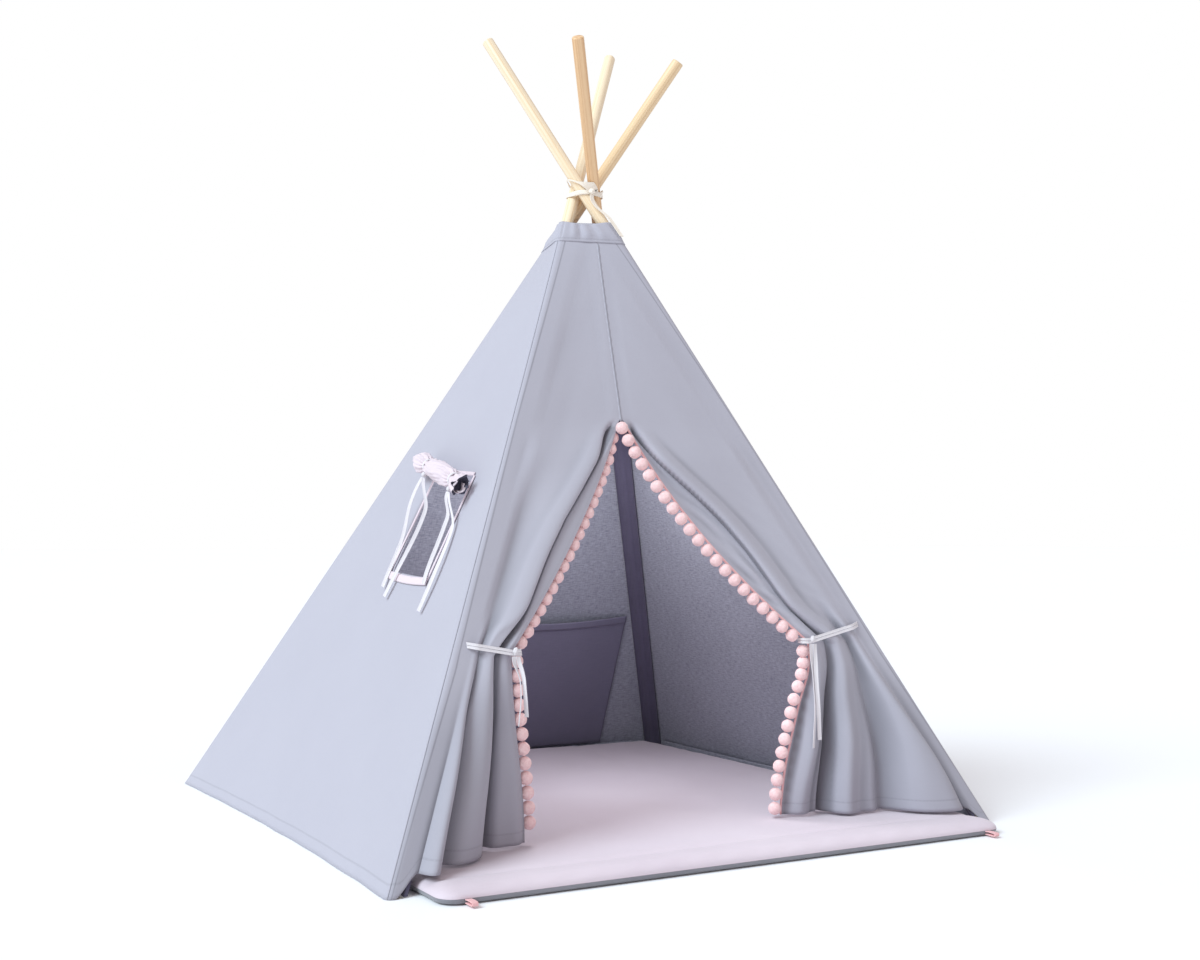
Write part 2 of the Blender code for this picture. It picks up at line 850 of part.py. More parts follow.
def pocket_point(share, climb_share, lift):
    inset = pocket_low_inset + (pocket_high_inset - pocket_low_inset) * climb_share
    width = pocket_low_width + (pocket_high_width - pocket_low_width) * climb_share
    x = base_half_width - inset - width * share
    top = pocket_high - pocket_dip * sin(pi * share)
    z = pocket_low + (top - pocket_low) * climb_share
    swell = pocket_swell * sin(pi * share) * smooth(climb_share * 1.4)
    return on_wall(2, -x, z, -(2 * seat_gap + swell + lift))


rows = []
for climb_share in (0, 0.15, 0.35, 0.6, 0.8, 1):
    rows.append([pocket_point(k / pocket_columns, climb_share, 0) for k in range(pocket_columns + 1)])
sheet("pocket", rows, pocket_thick, pocket_grey, side=-1)

rows = []
mouth_share = pocket_hem_height / (pocket_high - pocket_low)
for climb_share in (1 - mouth_share, 1):
    row = []
    for k in range(pocket_columns + 1):
        row.append(pocket_point(k / pocket_columns, climb_share, pocket_thick + 2 * seat_gap))
    rows.append(row)
sheet("pocket_hem", rows, pocket_hem_thick, pocket_grey, side=-1)


# Mat: a padded top over a grey underside, sewn round a seam at a third of the height
def mat_ring(inset, z):
    half = mat_half_width - inset
    front = -(mat_front - inset)
    back = mat_back - inset
    radius = max(mat_corner - inset, mat_corner / 4)
    ring = []
    spots = ((half, front, -90), (half, back, 0), (-half, back, 90), (-half, front, 180))
    for x, y, begin in spots:
        cx = x - radius if x > 0 else x + radius
        cy = y - radius if y > 0 else y + radius
        for k in range(mat_corner_steps + 1):
            angle = radians(begin + 90 * k / mat_corner_steps)
            ring.append(Vector((cx + radius * cos(angle), cy + radius * sin(angle), z)))
    return ring


base_top = mat_seam_height - seat_gap
base_round = mat_seam_height * 0.45
bm = bmesh.new()
base_rings = [
    mat_ring(base_round * 1.6, 0),
    mat_ring(base_round * 0.5, base_round * 0.6),
    mat_ring(0, base_top * 0.85),
    mat_ring(0, base_top),
]
loft_rings(bm, base_rings)
keep("mat_underside", bm, mat_grey)

crown = mat_height - mat_seam_height
bm = bmesh.new()
top_rings = [
    mat_ring(0, mat_seam_height),
    mat_ring(0, mat_seam_height + crown * 0.3),
    mat_ring(crown * 0.25, mat_seam_height + crown * 0.62),
    mat_ring(crown * 0.9, mat_seam_height + crown * 0.86),
    mat_ring(crown * 2.2, mat_height),
    mat_ring(mat_channel_inset - mat_channel_depth * 2, mat_height - mat_channel_depth * 0.2),
    mat_ring(mat_channel_inset, mat_height - mat_channel_depth),
    mat_ring(mat_channel_inset + mat_channel_depth * 2, mat_height - mat_channel_depth * 0.2),
    mat_ring(mat_channel_inset * 1.7, mat_height),
]
loft_rings(bm, top_rings)
keep("mat_top", bm, mat_pink)

# A small tape loop sewn into the seam at each front corner
for x_side, name in ((-1, "mat_loop_left"), (1, "mat_loop_right")):
    bm = bmesh.new()
    middle = x_side * (mat_half_width - mat_corner - loop_tape)
    low = mat_seam_height / 3
    high = low + 2 * loop_thick + loop_gap
    near = -(mat_front + 2 * seat_gap)
    far = near - loop_length
    outline = [
        (near, high),
        (far + loop_thick, high),
        (far, high - loop_thick),
        (far, low + loop_thick),
        (far + loop_thick, low),
        (near, low),
        (near, low + loop_thick),
        (far + 2 * loop_thick, low + loop_thick),
        (far + 2 * loop_thick, high - loop_thick),
        (near, high - loop_thick),
    ]
    face = bm.faces.new([bm.verts.new((middle - loop_tape / 2, y, z)) for y, z in outline])
    grown = bmesh.ops.extrude_face_region(bm, geom=[face])
    moved = [v for v in grown["geom"] if isinstance(v, bmesh.types.BMVert)]
    bmesh.ops.translate(bm, vec=(loop_tape, 0, 0), verts=moved)
    bmesh.ops.recalc_face_normals(bm, faces=bm.faces[:])
    keep(name, bm, mat_pink)


# Lashing: one unbroken tape wound round the four poles where they cross, its second turn
# lying over the first and rising at the back, then a knot and a loose tail
def bundle_point(bearing, z, out):
    n = Vector((cos(bearing), sin(bearing)))
    spots = [pole.rim(z, n, out) for pole in poles]
    return raised(max(spots, key=lambda p: p.dot(n)), z)


def lash_point(turned, edge):
    bearing = radians(lash_bearing) - 2 * pi * turned
    z = crossing_height - lash_drop + edge * lash_width / 2
    if turned > 1:
        z += lash_rise * sin(pi * (turned - 1) ** lash_skew_share)
    return bundle_point(bearing, z, skin_gap + (lash_thick + lash_ease) * turned)


turns = [k / lash_steps for k in range(lash_turns * lash_steps + 1)]
lash_rows = [[lash_point(turned, -1) for turned in turns], [lash_point(turned, 1) for turned in turns]]
lash_rows.reverse()
sheet("lashing", lash_rows, lash_thick, cord_cream)
nearest = min(
    (a - b).length - lash_thick
    for k, a in enumerate(lash_rows[0])
    for b in lash_rows[0][k + lash_steps // 2 :]
)
print("lashing: least gap between turns", round(nearest, 5))

bearing = radians(lash_bearing)
lash_face = Vector((cos(bearing), sin(bearing), 0))
knot = (lash_rows[0][-1] + lash_rows[1][-1]) / 2 + lash_face * (lash_thick + lash_knot / 2 + seat_gap)
bm = bmesh.new()
add_ball(bm, knot, lash_face, [lash_knot] * 3, knot_segments, knot_rings)
keep("lashing_knot", bm, cord_cream)

tail_across = Vector((-sin(bearing), cos(bearing), 0))
band_out = skin_gap + cloth_thick * 1.6 + band_thick * 1.3 + pleat_depth + lash_thick
tail_start = knot.z - lash_knot / 2 - seat_gap
tail_end = cover_top - lash_tail_drop
lash_route = []
for k in range(lash_tail_points):
    share = k / (lash_tail_points - 1)
    z = tail_start + (tail_end - tail_start) * share
    turned = bearing + radians(lash_tail_turn) * share
    hung = bundle_point(turned, z, band_out + 3 * seat_gap)
    lash_route.append(raised(knot, z).lerp(hung, smooth(share * lash_tail_quick)))
ribbon("lashing_tail", lash_route, lash_width, lash_thick, tail_across, cord_cream)

# The cover is lifted off the mat by the crossing, by full_lift, and meanwhile the poles swing in
# under their own weight until they lean folded_lean. Their feet clear the mat's edge on the way.
for pole in poles:
    swing = pole.lean - radians(folded_lean)
    pivot = tuple(round(v, 5) for v in pole.pivot)
    axis = tuple(round(-v, 5) for v in pole.side)
    print(pole.name, "turns about", pivot, "along", axis)
    print(pole.name, "by", round(degrees(swing), 3), "degrees,", round(swing / full_lift, 5), "rad a metre")
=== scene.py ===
# Play teepee for children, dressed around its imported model: pine poles, sewn cotton, pompoms, padded mat.
# Metres, +Z up. The doorway faces -Y and the origin is on the floor, at the middle of the four feet.

from math import asin, atan2, cos, exp, pi, radians, sin, sqrt

import bmesh
import bpy
from mathutils import Matrix, Vector, noise


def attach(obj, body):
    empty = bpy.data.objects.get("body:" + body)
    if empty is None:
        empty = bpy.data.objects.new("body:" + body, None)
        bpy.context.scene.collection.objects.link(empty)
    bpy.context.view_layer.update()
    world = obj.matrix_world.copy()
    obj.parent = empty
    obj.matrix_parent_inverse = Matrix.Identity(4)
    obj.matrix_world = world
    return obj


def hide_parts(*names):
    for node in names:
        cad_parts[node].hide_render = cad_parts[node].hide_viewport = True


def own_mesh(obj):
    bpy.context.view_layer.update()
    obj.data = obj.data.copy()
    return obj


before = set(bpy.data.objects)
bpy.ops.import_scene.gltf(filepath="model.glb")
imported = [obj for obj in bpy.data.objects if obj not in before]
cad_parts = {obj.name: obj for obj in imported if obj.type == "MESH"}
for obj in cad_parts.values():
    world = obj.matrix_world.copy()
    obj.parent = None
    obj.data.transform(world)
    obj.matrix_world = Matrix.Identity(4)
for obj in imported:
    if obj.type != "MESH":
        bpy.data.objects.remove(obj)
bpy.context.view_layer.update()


# View and light
view = dict(at=(-1.4008, -2.6555, 0.5307), heading=29.43, upward=2.24, lens=44.39, sensor=36.0)

studio = dict(
    skyStrength=0.625, skyTint=(1.0, 0.935, 0.955, 1.0), backdropTint=(1.0, 1.0, 1.0, 1.0),
    keyFrom=(-0.73, -0.12, 0.67), keyStrength=2.8, keySpread=34.0, keyTint=(0.80, 0.95, 1.03),
    glowAt=(0.0, -0.10, 0.74), glowAim=(0.02, 0.02, 0.0), glowSize=0.30, glowPower=3.5,
    glowTint=(0.97, 0.97, 1.0), floorHalf=60.0, floorTint=(0.93, 0.93, 0.94, 1.0),
)


def addObject(name, data):
    made = bpy.data.objects.new(name, data)
    bpy.context.scene.collection.objects.link(made)
    return made


def placeCamera():
    lensData = bpy.data.cameras.new("photoCamera")
    lensData.lens = view["lens"]
    lensData.sensor_width = view["sensor"]
    camera = addObject("photoCamera", lensData)
    camera.location = view["at"]
    camera.rotation_euler = (radians(90 + view["upward"]), 0, radians(-view["heading"]))
    bpy.context.scene.camera = camera


def lamp(name, kind, at, way, power, colour):
    lampData = bpy.data.lights.new(name, kind)
    lampData.energy = power
    lampData.color = colour
    made = addObject(name, lampData)
    made.location = at
    made.rotation_euler = Vector(way).to_track_quat("-Z", "Y").to_euler()
    return made


placeCamera()
print("camera placed")


# Shader sockets that take part in sums, and the finishes made from them
def sumWith(operation, reflected=False):
    def reckon(wire, other=0.0):
        pair = (other, wire) if reflected else (wire, other)
        return wire.finish.node("ShaderNodeMath", {"operation": operation}, dict(enumerate(pair)))

    return reckon


class Wire:
    def __init__(self, finish, socket):
        self.finish = finish
        self.socket = socket

    __add__ = sumWith("ADD")
    __radd__ = sumWith("ADD", True)
    __sub__ = sumWith("SUBTRACT")
    __rsub__ = sumWith("SUBTRACT", True)
    __mul__ = sumWith("MULTIPLY")
    __rmul__ = sumWith("MULTIPLY", True)
    __truediv__ = sumWith("DIVIDE")
    __abs__ = sumWith("ABSOLUTE")
    sine = sumWith("SINE")
    power = sumWith("POWER")
    atMost = sumWith("MINIMUM")
    atLeast = sumWith("MAXIMUM")

    def held(self):
        return self.atMost(1.0).atLeast(0.0)

    def band(self, middle, reach):  # 1 on a line, 0 from reach away
        return (1 - abs(self - middle) / reach).held()


class Finish:
    def __init__(self, name, constants):
        self.material = bpy.data.materials.new(name)
        self.material.use_nodes = True
        self.tree = self.material.node_tree
        self.shader = self.tree.nodes["Principled BSDF"]
        for socket, value in constants.items():
            self.shader.inputs[socket].default_value = value

    def node(self, kind, settings=None, sockets=None, out=0):
        made = self.tree.nodes.new(kind)
        for key, value in (settings or {}).items():
            setattr(made, key, value)
        for key, value in (sockets or {}).items():
            self.feed(made.inputs[key], value)
        return Wire(self, made.outputs[out])

    def feed(self, socket, value):
        if isinstance(value, Wire):
            self.tree.links.new(value.socket, socket)
        else:
            socket.default_value = value

    def mix(self, factor, first, second):
        return self.node("ShaderNodeMix", {"data_type": "RGBA"}, {0: factor, 6: first, 7: second}, 2)

    def chart(self):
        return self.node("ShaderNodeUVMap", {"uv_map": "chart"})

    def spot(self):
        return self.node("ShaderNodeTexCoord", out=3)

    def attribute(self, name):
        return self.node("ShaderNodeAttribute", {"attribute_name": name}, out=1)

    def axes(self, vector):
        split = self.node("ShaderNodeSeparateXYZ", None, {0: vector}).socket.node
        return [Wire(self, output) for output in split.outputs]

    def cloud(self, vector, perMetre, detail=2.0, rough=0.5):
        stretched = self.node("ShaderNodeMapping", None, {"Vector": vector, "Scale": perMetre})
        sockets = {"Vector": stretched, "Scale": 1.0, "Detail": detail, "Roughness": rough}
        return self.node("ShaderNodeTexNoise", None, sockets)

    def relief(self, height, distance, strength):
        sockets = {"Height": height, "Distance": distance, "Strength": strength}
        self.feed(self.shader.inputs["Normal"], self.node("ShaderNodeBump", None, sockets))

    def painted(self, colour, roughness):
        self.feed(self.shader.inputs["Base Color"], colour)
        self.feed(self.shader.inputs["Roughness"], roughness)
        return self.material


def tint(red, green, blue):  # from a screen's 0 to 255 scale to the shader's
    shares = [value / 255 for value in (red, green, blue)]
    lit = [s / 12.92 if s <= 0.04045 else ((s + 0.055) / 1.055) ** 2.4 for s in shares]
    return (*lit, 1.0)


def dimmed(colour, share):
    return (*(share * c for c in colour[:3]), 1.0)


cotton = dict(
    thread=0.0007, sheen=0.15, rough=0.88, patch=0.22, seamIn=0.0065, hemStitch=0.0215, stitchPitch=0.0042,
    stitchWidth=0.0008, seamShadeWidth=0.0020, foldTone=0.74,
)


# Woven cotton. The chart is in metres; sewn holds distances to the side stitches, the hem and the seam. The
# grooves beside the stitches and a thin line along each seam are darkened as painted shade, and the fold
# attribute darkens fold valleys and the cloth below the ties as painted shade.
def clothFinish(name, light, dark, slub=0.25, weave=0.35, stitched=True, streak=(0.030, 0.0022)):
    constants = {"Sheen Weight": cotton["sheen"], "Sheen Roughness": 0.45, "Specular IOR Level": 0.25}
    finish = Finish(name, constants)
    chart = finish.chart()
    u, v, w = finish.axes(chart)
    long, fine = (1 / size for size in streak)
    threads = finish.cloud(chart, (fine, long, 1), 3.0, 0.6) * 0.35
    threads = threads + finish.cloud(chart, (long, fine, 1), 3.0, 0.6) * 0.65
    patch = finish.cloud(chart, (1 / cotton["patch"],) * 3, 3.0, 0.55)
    turn = 2 * pi / cotton["thread"]
    tone = ((patch - 0.5) * 0.5 + (threads - 0.5) * (slub * 4) + 0.5).held()
    colour = finish.mix(tone, dark, light)
    height = threads * 0.9 + (u * turn).sine() * (v * turn).sine() * 0.12
    if stitched:
        edge, hem, seam = finish.axes(finish.attribute("sewn"))
        pitch = 2 * pi / cotton["stitchPitch"]
        width = cotton["stitchWidth"]
        sideDashes = ((v * pitch).sine() + 0.35).held()
        hemDashes = ((u * pitch).sine() + 0.35).held()
        stitches = edge.band(cotton["seamIn"], width) * sideDashes
        stitches = stitches + hem.band(cotton["hemStitch"], width) * hemDashes
        # painted shade: the grooves beside the stitches and a thin line along the seam are darkened
        groove = edge.band(cotton["seamIn"], width * 3) * 0.4 + hem.band(cotton["hemStitch"], width * 3)
        shade = (groove * 0.25 + seam.band(0.0, cotton["seamShadeWidth"]) * 0.55).held()
        fold, same, again = finish.axes(finish.attribute("fold"))
        colour = finish.mix(shade, colour, dimmed(dark, 0.35))
        colour = finish.mix(stitches.held() * 0.6, colour, light)
        # painted shade: the fold attribute darkens the cloth in fold valleys and below the ties
        colour = finish.mix(fold * cotton["foldTone"], colour, dimmed(dark, 0.42))
        height = height - groove * 1.2 + stitches * 0.8
    finish.relief(height, 0.0006, weave)
    return finish.painted(colour, cotton["rough"] + (threads - 0.5) * 0.15)


def pineFinish(name, pale, warm, knot):
    finish = Finish(name, {"Specular IOR Level": 0.4, "Coat Roughness": 0.4})
    grain = finish.attribute("grain")
    x, y, z = finish.axes(grain)
    drift = finish.cloud(grain, (14, 14, 1.3), 2.0)
    figure = finish.cloud(grain, (190, 190, 1.7), 3.0, 0.6)
    pores = finish.cloud(grain, (1400, 1400, 30), 2.0, 0.7)
    rings = ((x * 1150 + y * 520 + (drift - 0.5) * 9 + (figure - 0.5) * 5).sine() * 0.5 + 0.5).power(2.2)
    tone = (rings * 0.45 + (figure - 0.5) * 1.9 + 0.25).held()
    colour = finish.mix(tone, pale, warm)
    colour = finish.mix(((pores - 0.58) * 3).held() * 0.5, colour, knot)
    eyes = ((finish.cloud(grain, (24, 24, 5.0), 0.0) - 0.72) * 9).held()
    finish.feed(finish.shader.inputs["Coat Weight"], 0.12 + tone * 0.1)
    finish.relief(rings * 0.5 + pores * 0.5, 0.0003, 0.35)
    return finish.painted(finish.mix(eyes * 0.8, colour, knot), 0.48 + (figure - 0.5) * 0.25)


def pileFinish(name, light, dark):
    finish = Finish(name, {"Sheen Weight": 0.8, "Sheen Roughness": 0.5, "Specular IOR Level": 0.1})
    finish.shader.inputs["Sheen Tint"].default_value = light
    spot = finish.spot()
    curls = finish.cloud(spot, (900,) * 3, 3.0, 0.65)
    tufts = finish.cloud(spot, (230,) * 3, 2.0, 0.6)
    tone = ((curls - 0.5) * 1.6 + (tufts - 0.5) * 1.2 + 0.55).held()
    finish.relief(curls * 0.7 + tufts, 0.0012, 0.6)
    return finish.painted(finish.mix(tone, dark, light), 0.92 + (curls - 0.5) * 0.1)


def tapeFinish(name, light, dark):
    finish = Finish(name, {"Sheen Weight": 0.2, "Specular IOR Level": 0.25})
    chart = finish.chart()
    u, v, w = finish.axes(chart)
    twill = ((u + v) * (2 * pi / 0.0011)).sine() * 0.5 + 0.5
    ribs = (u * (2 * pi / 0.0016)).sine() * 0.5 + 0.5
    soil = finish.cloud(chart, (90, 30, 1), 3.0)
    tone = (twill * 0.35 + ribs * 0.25 + soil * 0.55).held()
    finish.relief(twill * 0.5 + ribs * 0.5, 0.0003, 0.6)
    return finish.painted(finish.mix(tone, dark, light), 0.8 + soil * 0.12)


def knitFinish(name, light, dark):
    finish = Finish(name, {"Sheen Weight": 0.35, "Sheen Roughness": 0.4, "Specular IOR Level": 0.25})
    spot = finish.spot()
    x, y, z = finish.axes(spot)
    turn = 2 * pi / cotton["thread"]
    broad = finish.cloud(spot, (3.2,) * 3, 3.0)
    threads = finish.cloud(spot, (620, 40, 620), 3.0, 0.6) + finish.cloud(spot, (40, 620, 620), 3.0, 0.6)
    threads = threads * 0.5
    tone = ((broad - 0.5) * 0.9 + (threads - 0.5) * 0.9 + 0.5).held()
    finish.relief(threads + (x * turn).sine() * (y * turn).sine() * 0.12, 0.0006, 0.35)
    return finish.painted(finish.mix(tone, dark, light), 0.84 + (threads - 0.5) * 0.15)


def floorFinish():
    finish = Finish("studioFloor", {"Specular IOR Level": 0.1})
    broad = finish.cloud(finish.spot(), (0.7,) * 3, 2.0)
    level = studio["floorTint"]
    return finish.painted(finish.mix(broad, level, dimmed(level, 0.985)), 0.8 + broad * 0.05)


coverCloth = clothFinish("coverCloth", tint(183, 181, 191), tint(171, 169, 180), 0.10, 0.30)
# inside faces and hems: a darker copy of the cover cloth, painted shade for the tent's inside; its strong
# slub streaks paint the weave as lit from behind
coverInsideShaded = clothFinish(
    "coverInsideShaded", tint(180, 182, 195), tint(132, 134, 148), 0.85, 0.8, streak=(0.014, 0.0024)
)
sleeveCloth = clothFinish("sleeveCloth", tint(102, 97, 120), tint(80, 76, 96), 0.2, 0.4)
# pocket: cotton painted darker than the cover, painted shade for the doubled layer that lets less light
# through from behind
pocketCloth = clothFinish("pocketCloth", tint(132, 128, 150), tint(106, 103, 123), 0.22, 0.4, False)
liningCloth = clothFinish("liningCloth", tint(230, 217, 223), tint(212, 196, 204), 0.14, 0.3, False)
# flapShade: a dark sheet as painted shade inside the rolled flap's open end
flapShade = clothFinish("flapShade", tint(92, 90, 108), tint(60, 58, 72), 0.2, 0.3, False)
pinePale = pineFinish("pinePale", tint(246, 229, 201), tint(230, 202, 163), tint(200, 160, 118))
pineTan = pineFinish("pineTan", tint(238, 212, 174), tint(218, 182, 136), tint(180, 136, 92))
# the back right pole is drawn in a browner pine than the others
pineBrowner = pineFinish("pineBrowner", tint(240, 204, 160), tint(194, 142, 94), tint(146, 98, 60))
pompomPile = pileFinish("pompomPile", tint(250, 222, 220), tint(234, 186, 188))
braidPink = tapeFinish("braidPink", tint(244, 198, 198), tint(222, 160, 164))
tapeWhite = tapeFinish("tapeWhite", tint(232, 227, 230), tint(208, 203, 207))
tapeCream = tapeFinish("tapeCream", tint(252, 243, 230), tint(236, 222, 205))
matPink = knitFinish("matPink", tint(219, 207, 214), tint(206, 192, 202))
matGrey = knitFinish("matGrey", tint(150, 150, 156), tint(120, 120, 128))
print("finishes mixed")


# The frame's own sizes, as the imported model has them
stand = dict(
    baseHalfWidth=0.585, crossingHeight=1.211, crossingForward=0.109, crossingStep=0.0208,
    poleLengths=(1.82, 1.785, 1.82, 1.82), poleDiameter=0.023, poleEndRound=0.003, poleSegments=40,
    poleRings=24, foldedShare=0.07,
)

cover = dict(
    seatGap=0.0003, skinGap=0.0008, thick=0.0016, top=1.143, slack=0.015, cornerShare=0.035,
    hemHeight=0.020, hemThick=0.0012, hemLift=0.001, bandDrop=0.040, bandRise=0.003, bandThick=0.0016,
    bandCorner=0.16, bandGrid=(288, 16), bandGirth=0.36, bandDip=0.006, bandPuff=0.0006,
    bandWrinkle=0.0010, wrinkleCount=26, pleatDepth=0.0028, pleatsASide=3,
    hungDepth=0.0022, gatherDepth=0.0009, gatherPitch=0.026, hemGrid=(90, 5), hemEnd=0.022,
    hemLap=0.0022, hemWave=0.0006, columns=130, rows=130,
)

# Pairs by side: -1 left, 1 right
doorway = dict(
    aside=-0.030, apexHeight=0.745, notchHalfWidth=0.006, tieHeight=0.343, tieHalfWidth=0.300,
    footHalfWidths={-1: 0.275, 1: 0.240}, bows={-1: 0.27, 1: 0.5}, underTie=0.009, curtainHem=0.031,
    hemLiftRun=0.030, foldCount=3, foldStart=0.024, foldRise=0.030, foldAtTie=0.008, foldAtFoot=0.026,
    foldLeanShare=0.35, calmShare=0.12, cornerShare=0.05, openMost=0.0300, tiedMost=0.0088,
    columns=190, rows=170, denser=1.35, seamWidth=0.010, fellShare=0.45, seamThick=0.0010, seamClear=0.003,
    cornerSeam=0.008, shadeReach=0.014, shadeDepth=0.009, shadeShift={-1: 0.006, 1: 0.0}, underShade=0.3,
    takenUp={-1: 1.37, 1: 1.30}, swell=0.0022, crumple=0.0008, crown=0.003, seamGrid=(8, 90),
    seamPucker=0.0003, puckerPitch=0.017, seamCrown=0.0012,
)
seat = cover["seatGap"]
skin = cover["skinGap"]
peak = cover["top"]
apex = doorway["apexHeight"]
tieAt = doorway["tieHeight"]
hemAt = doorway["curtainHem"]
crossing = Vector((0, -stand["crossingForward"]))


def smooth(share):
    held = min(1, max(0, share))
    return held * held * (3 - 2 * held)


def bell(share):
    return exp(-share * share)


def ripple(x, y, z):
    return noise.noise(Vector((x, y, z)))


class CornerPole:
    def __init__(self, name, across, back):
        self.name = name
        self.foot = Vector((across, back)) * stand["baseHalfWidth"]
        way = crossing - self.foot
        step = stand["crossingStep"]
        self.along = Matrix.Rotation(asin(step / way.length), 2) @ way.normalized()
        self.side = Vector((-self.along.y, self.along.x))
        self.run = sqrt(way.length_squared - step**2)
        self.lean = atan2(self.run, stand["crossingHeight"])
        self.pivot = raised(crossing + self.side * step, stand["crossingHeight"])
        self.shortHalf = stand["poleDiameter"] / 2
        self.longHalf = self.shortHalf / cos(self.lean)
        self.upward = raised(self.along * sin(self.lean), cos(self.lean))

    def centre(self, z):
        return self.foot + self.along * (self.run * z / stand["crossingHeight"])

    def rim(self, z, facing, gap):  # point of the level section that faces that way
        a = self.longHalf * facing.dot(self.along)
        b = self.shortHalf * facing.dot(self.side)
        ellipse = self.along * (self.longHalf * a) + self.side * (self.shortHalf * b)
        return self.centre(z) + ellipse / sqrt(a * a + b * b) + facing * gap


def raised(planPoint, z):
    return Vector((planPoint.x, planPoint.y, z))


poleCorners = {"pole_fl": (-1, -1), "pole_fr": (1, -1), "pole_br": (1, 1), "pole_bl": (-1, 1)}
poles = [CornerPole(name, *corner) for name, corner in poleCorners.items()]


# Wall i runs from pole i to the next: 0 front, 1 right, 2 back, 3 left
def facing(i, z):
    step = poles[(i + 1) % 4].centre(z) - poles[i % 4].centre(z)
    return Vector((step.y, -step.x)).normalized()


def between(first, second, share):
    return (first * (1 - share) + second * share).normalized()


def wallEnds(i, z, gap=skin):
    n = facing(i, z)
    return poles[i % 4].rim(z, n, gap), poles[(i + 1) % 4].rim(z, n, gap), n


def wallWidth(i, z):
    a, b, n = wallEnds(i, z)
    return (b - a).length


def wallLean(i):
    a, b, n = wallEnds(i, 0, 0)
    return atan2((a - crossing).dot(n), stand["crossingHeight"])


leans = [wallLean(i) for i in range(4)]


def slackAt(i, share, z):
    return 0 if i == 0 else cover["slack"] * sin(pi * share) * (1 - z / peak)


def onWall(i, sideways, z, out):
    a, b, n = wallEnds(i, z)
    share = 0.5 + sideways / (b - a).length
    return raised(a.lerp(b, share) - n * slackAt(i, share, z) + n * (out / cos(leans[i])), z)


# The first and last part of a wall's width turn round its poles, to the seam halfway round the corner
def cornerTurn(i, share, z, out, part, parted=0.0):
    n = facing(i, z)
    if share < part:
        seam = between(facing(i - 1, z), n, 0.5)
        turned = share / part
        clear = Vector((-seam.y, seam.x)) * (parted * (1 - turned))
        return poles[i % 4].rim(z, between(seam, n, turned), out) + clear
    if share > 1 - part:
        seam = between(n, facing(i + 1, z), 0.5)
        turned = (share - 1 + part) / part
        clear = Vector((-seam.y, seam.x)) * (parted * turned)
        return poles[(i + 1) % 4].rim(z, between(n, seam, turned), out) - clear
    return None


# Every dressed piece: what it rides on and the imported nodes it stands for, which are hidden; a piece on a
# wall gets a mesh of its own
def settle(piece, body, slot, nodes=(), wall=None, keep=stand["foldedShare"]):
    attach(piece, body)
    if nodes:
        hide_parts(*nodes)
    if wall is not None:
        pole = next(p for p in poles if p.name == body)
        n = facing(wall, peak / 2) * cos(leans[wall])
        axis = raised(n, sin(leans[wall])).cross(pole.upward).normalized()
        tuple(pole.pivot)
        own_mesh(piece)
    return piece


def hold(name, bm, *paints):
    mesh = bpy.data.meshes.new(name)
    bm.normal_update()
    bm.to_mesh(mesh)
    bm.free()
    mesh.shade_smooth()
    for paint in paints:
        mesh.materials.append(paint)
    return addObject(name, mesh)


def chartFaces(bm, spotOf):
    layer = bm.loops.layers.uv.new("chart")
    for face in bm.faces:
        for corner in face.loops:
            corner[layer].uv = spotOf(corner.vert)


def cutAcross(bm, spot, way):
    geom = bm.verts[:] + bm.edges[:] + bm.faces[:]
    bmesh.ops.bisect_plane(bm, geom=geom, plane_co=spot, plane_no=way)


def closeOutwards(bm, rim):
    bmesh.ops.holes_fill(bm, edges=rim, sides=0)
    bmesh.ops.recalc_face_normals(bm, faces=bm.faces[:])


# A sheet of cloth: a grid whose points are moved to place(across, up). Across x up points outwards.
def clothGrid(
    name, columns, rows, place, chart, paints, thick, side=1, sewn=None, fold=None, cut=None, closed=False
):
    bm = bmesh.new()
    marks = bm.verts.layers.float_vector.new("sewn")
    # the fold layer carries painted shade: darker in fold valleys and below the ties
    shades = bm.verts.layers.float.new("fold")
    bmesh.ops.create_grid(bm, x_segments=columns, y_segments=rows, size=0.5, calc_uvs=False)
    charted = {}
    for v in bm.verts:
        across = v.co.x + 0.5
        up = v.co.y + 0.5
        charted[v.index] = chart(across, up)
        v[marks] = sewn(across, up) if sewn else (1.0, 1.0, 1.0)
        v[shades] = fold(across, up) if fold else 0.0
        v.co = place(across, up)
    chartFaces(bm, lambda v: charted[v.index])
    if cut:
        cut(bm)
    if closed:
        bmesh.ops.remove_doubles(bm, verts=bm.verts[:], dist=0.00001)
    made = hold(name, bm, *paints)
    shell = made.modifiers.new("thickness", "SOLIDIFY")
    shell.thickness = thick
    shell.offset = side
    shell.use_even_offset = False
    if len(paints) > 1:
        shell.material_offset = 1 if side > 0 else 0
    return made


def smoothRoute(points, steps):
    dense = []
    for k in range(len(points) - 1):
        a, b, c, d = (points[min(max(n, 0), len(points) - 1)] for n in range(k - 1, k + 3))
        for s in range(steps):
            t = s / steps
            bend = (2 * a - 5 * b + 4 * c - d) * (t * t) + (3 * b - a - 3 * c + d) * t**3
            dense.append((2 * b + (c - a) * t + bend) / 2)
    return dense + [points[-1]]


def routeLength(route):
    return sum((b - a).length for a, b in zip(route, route[1:]))


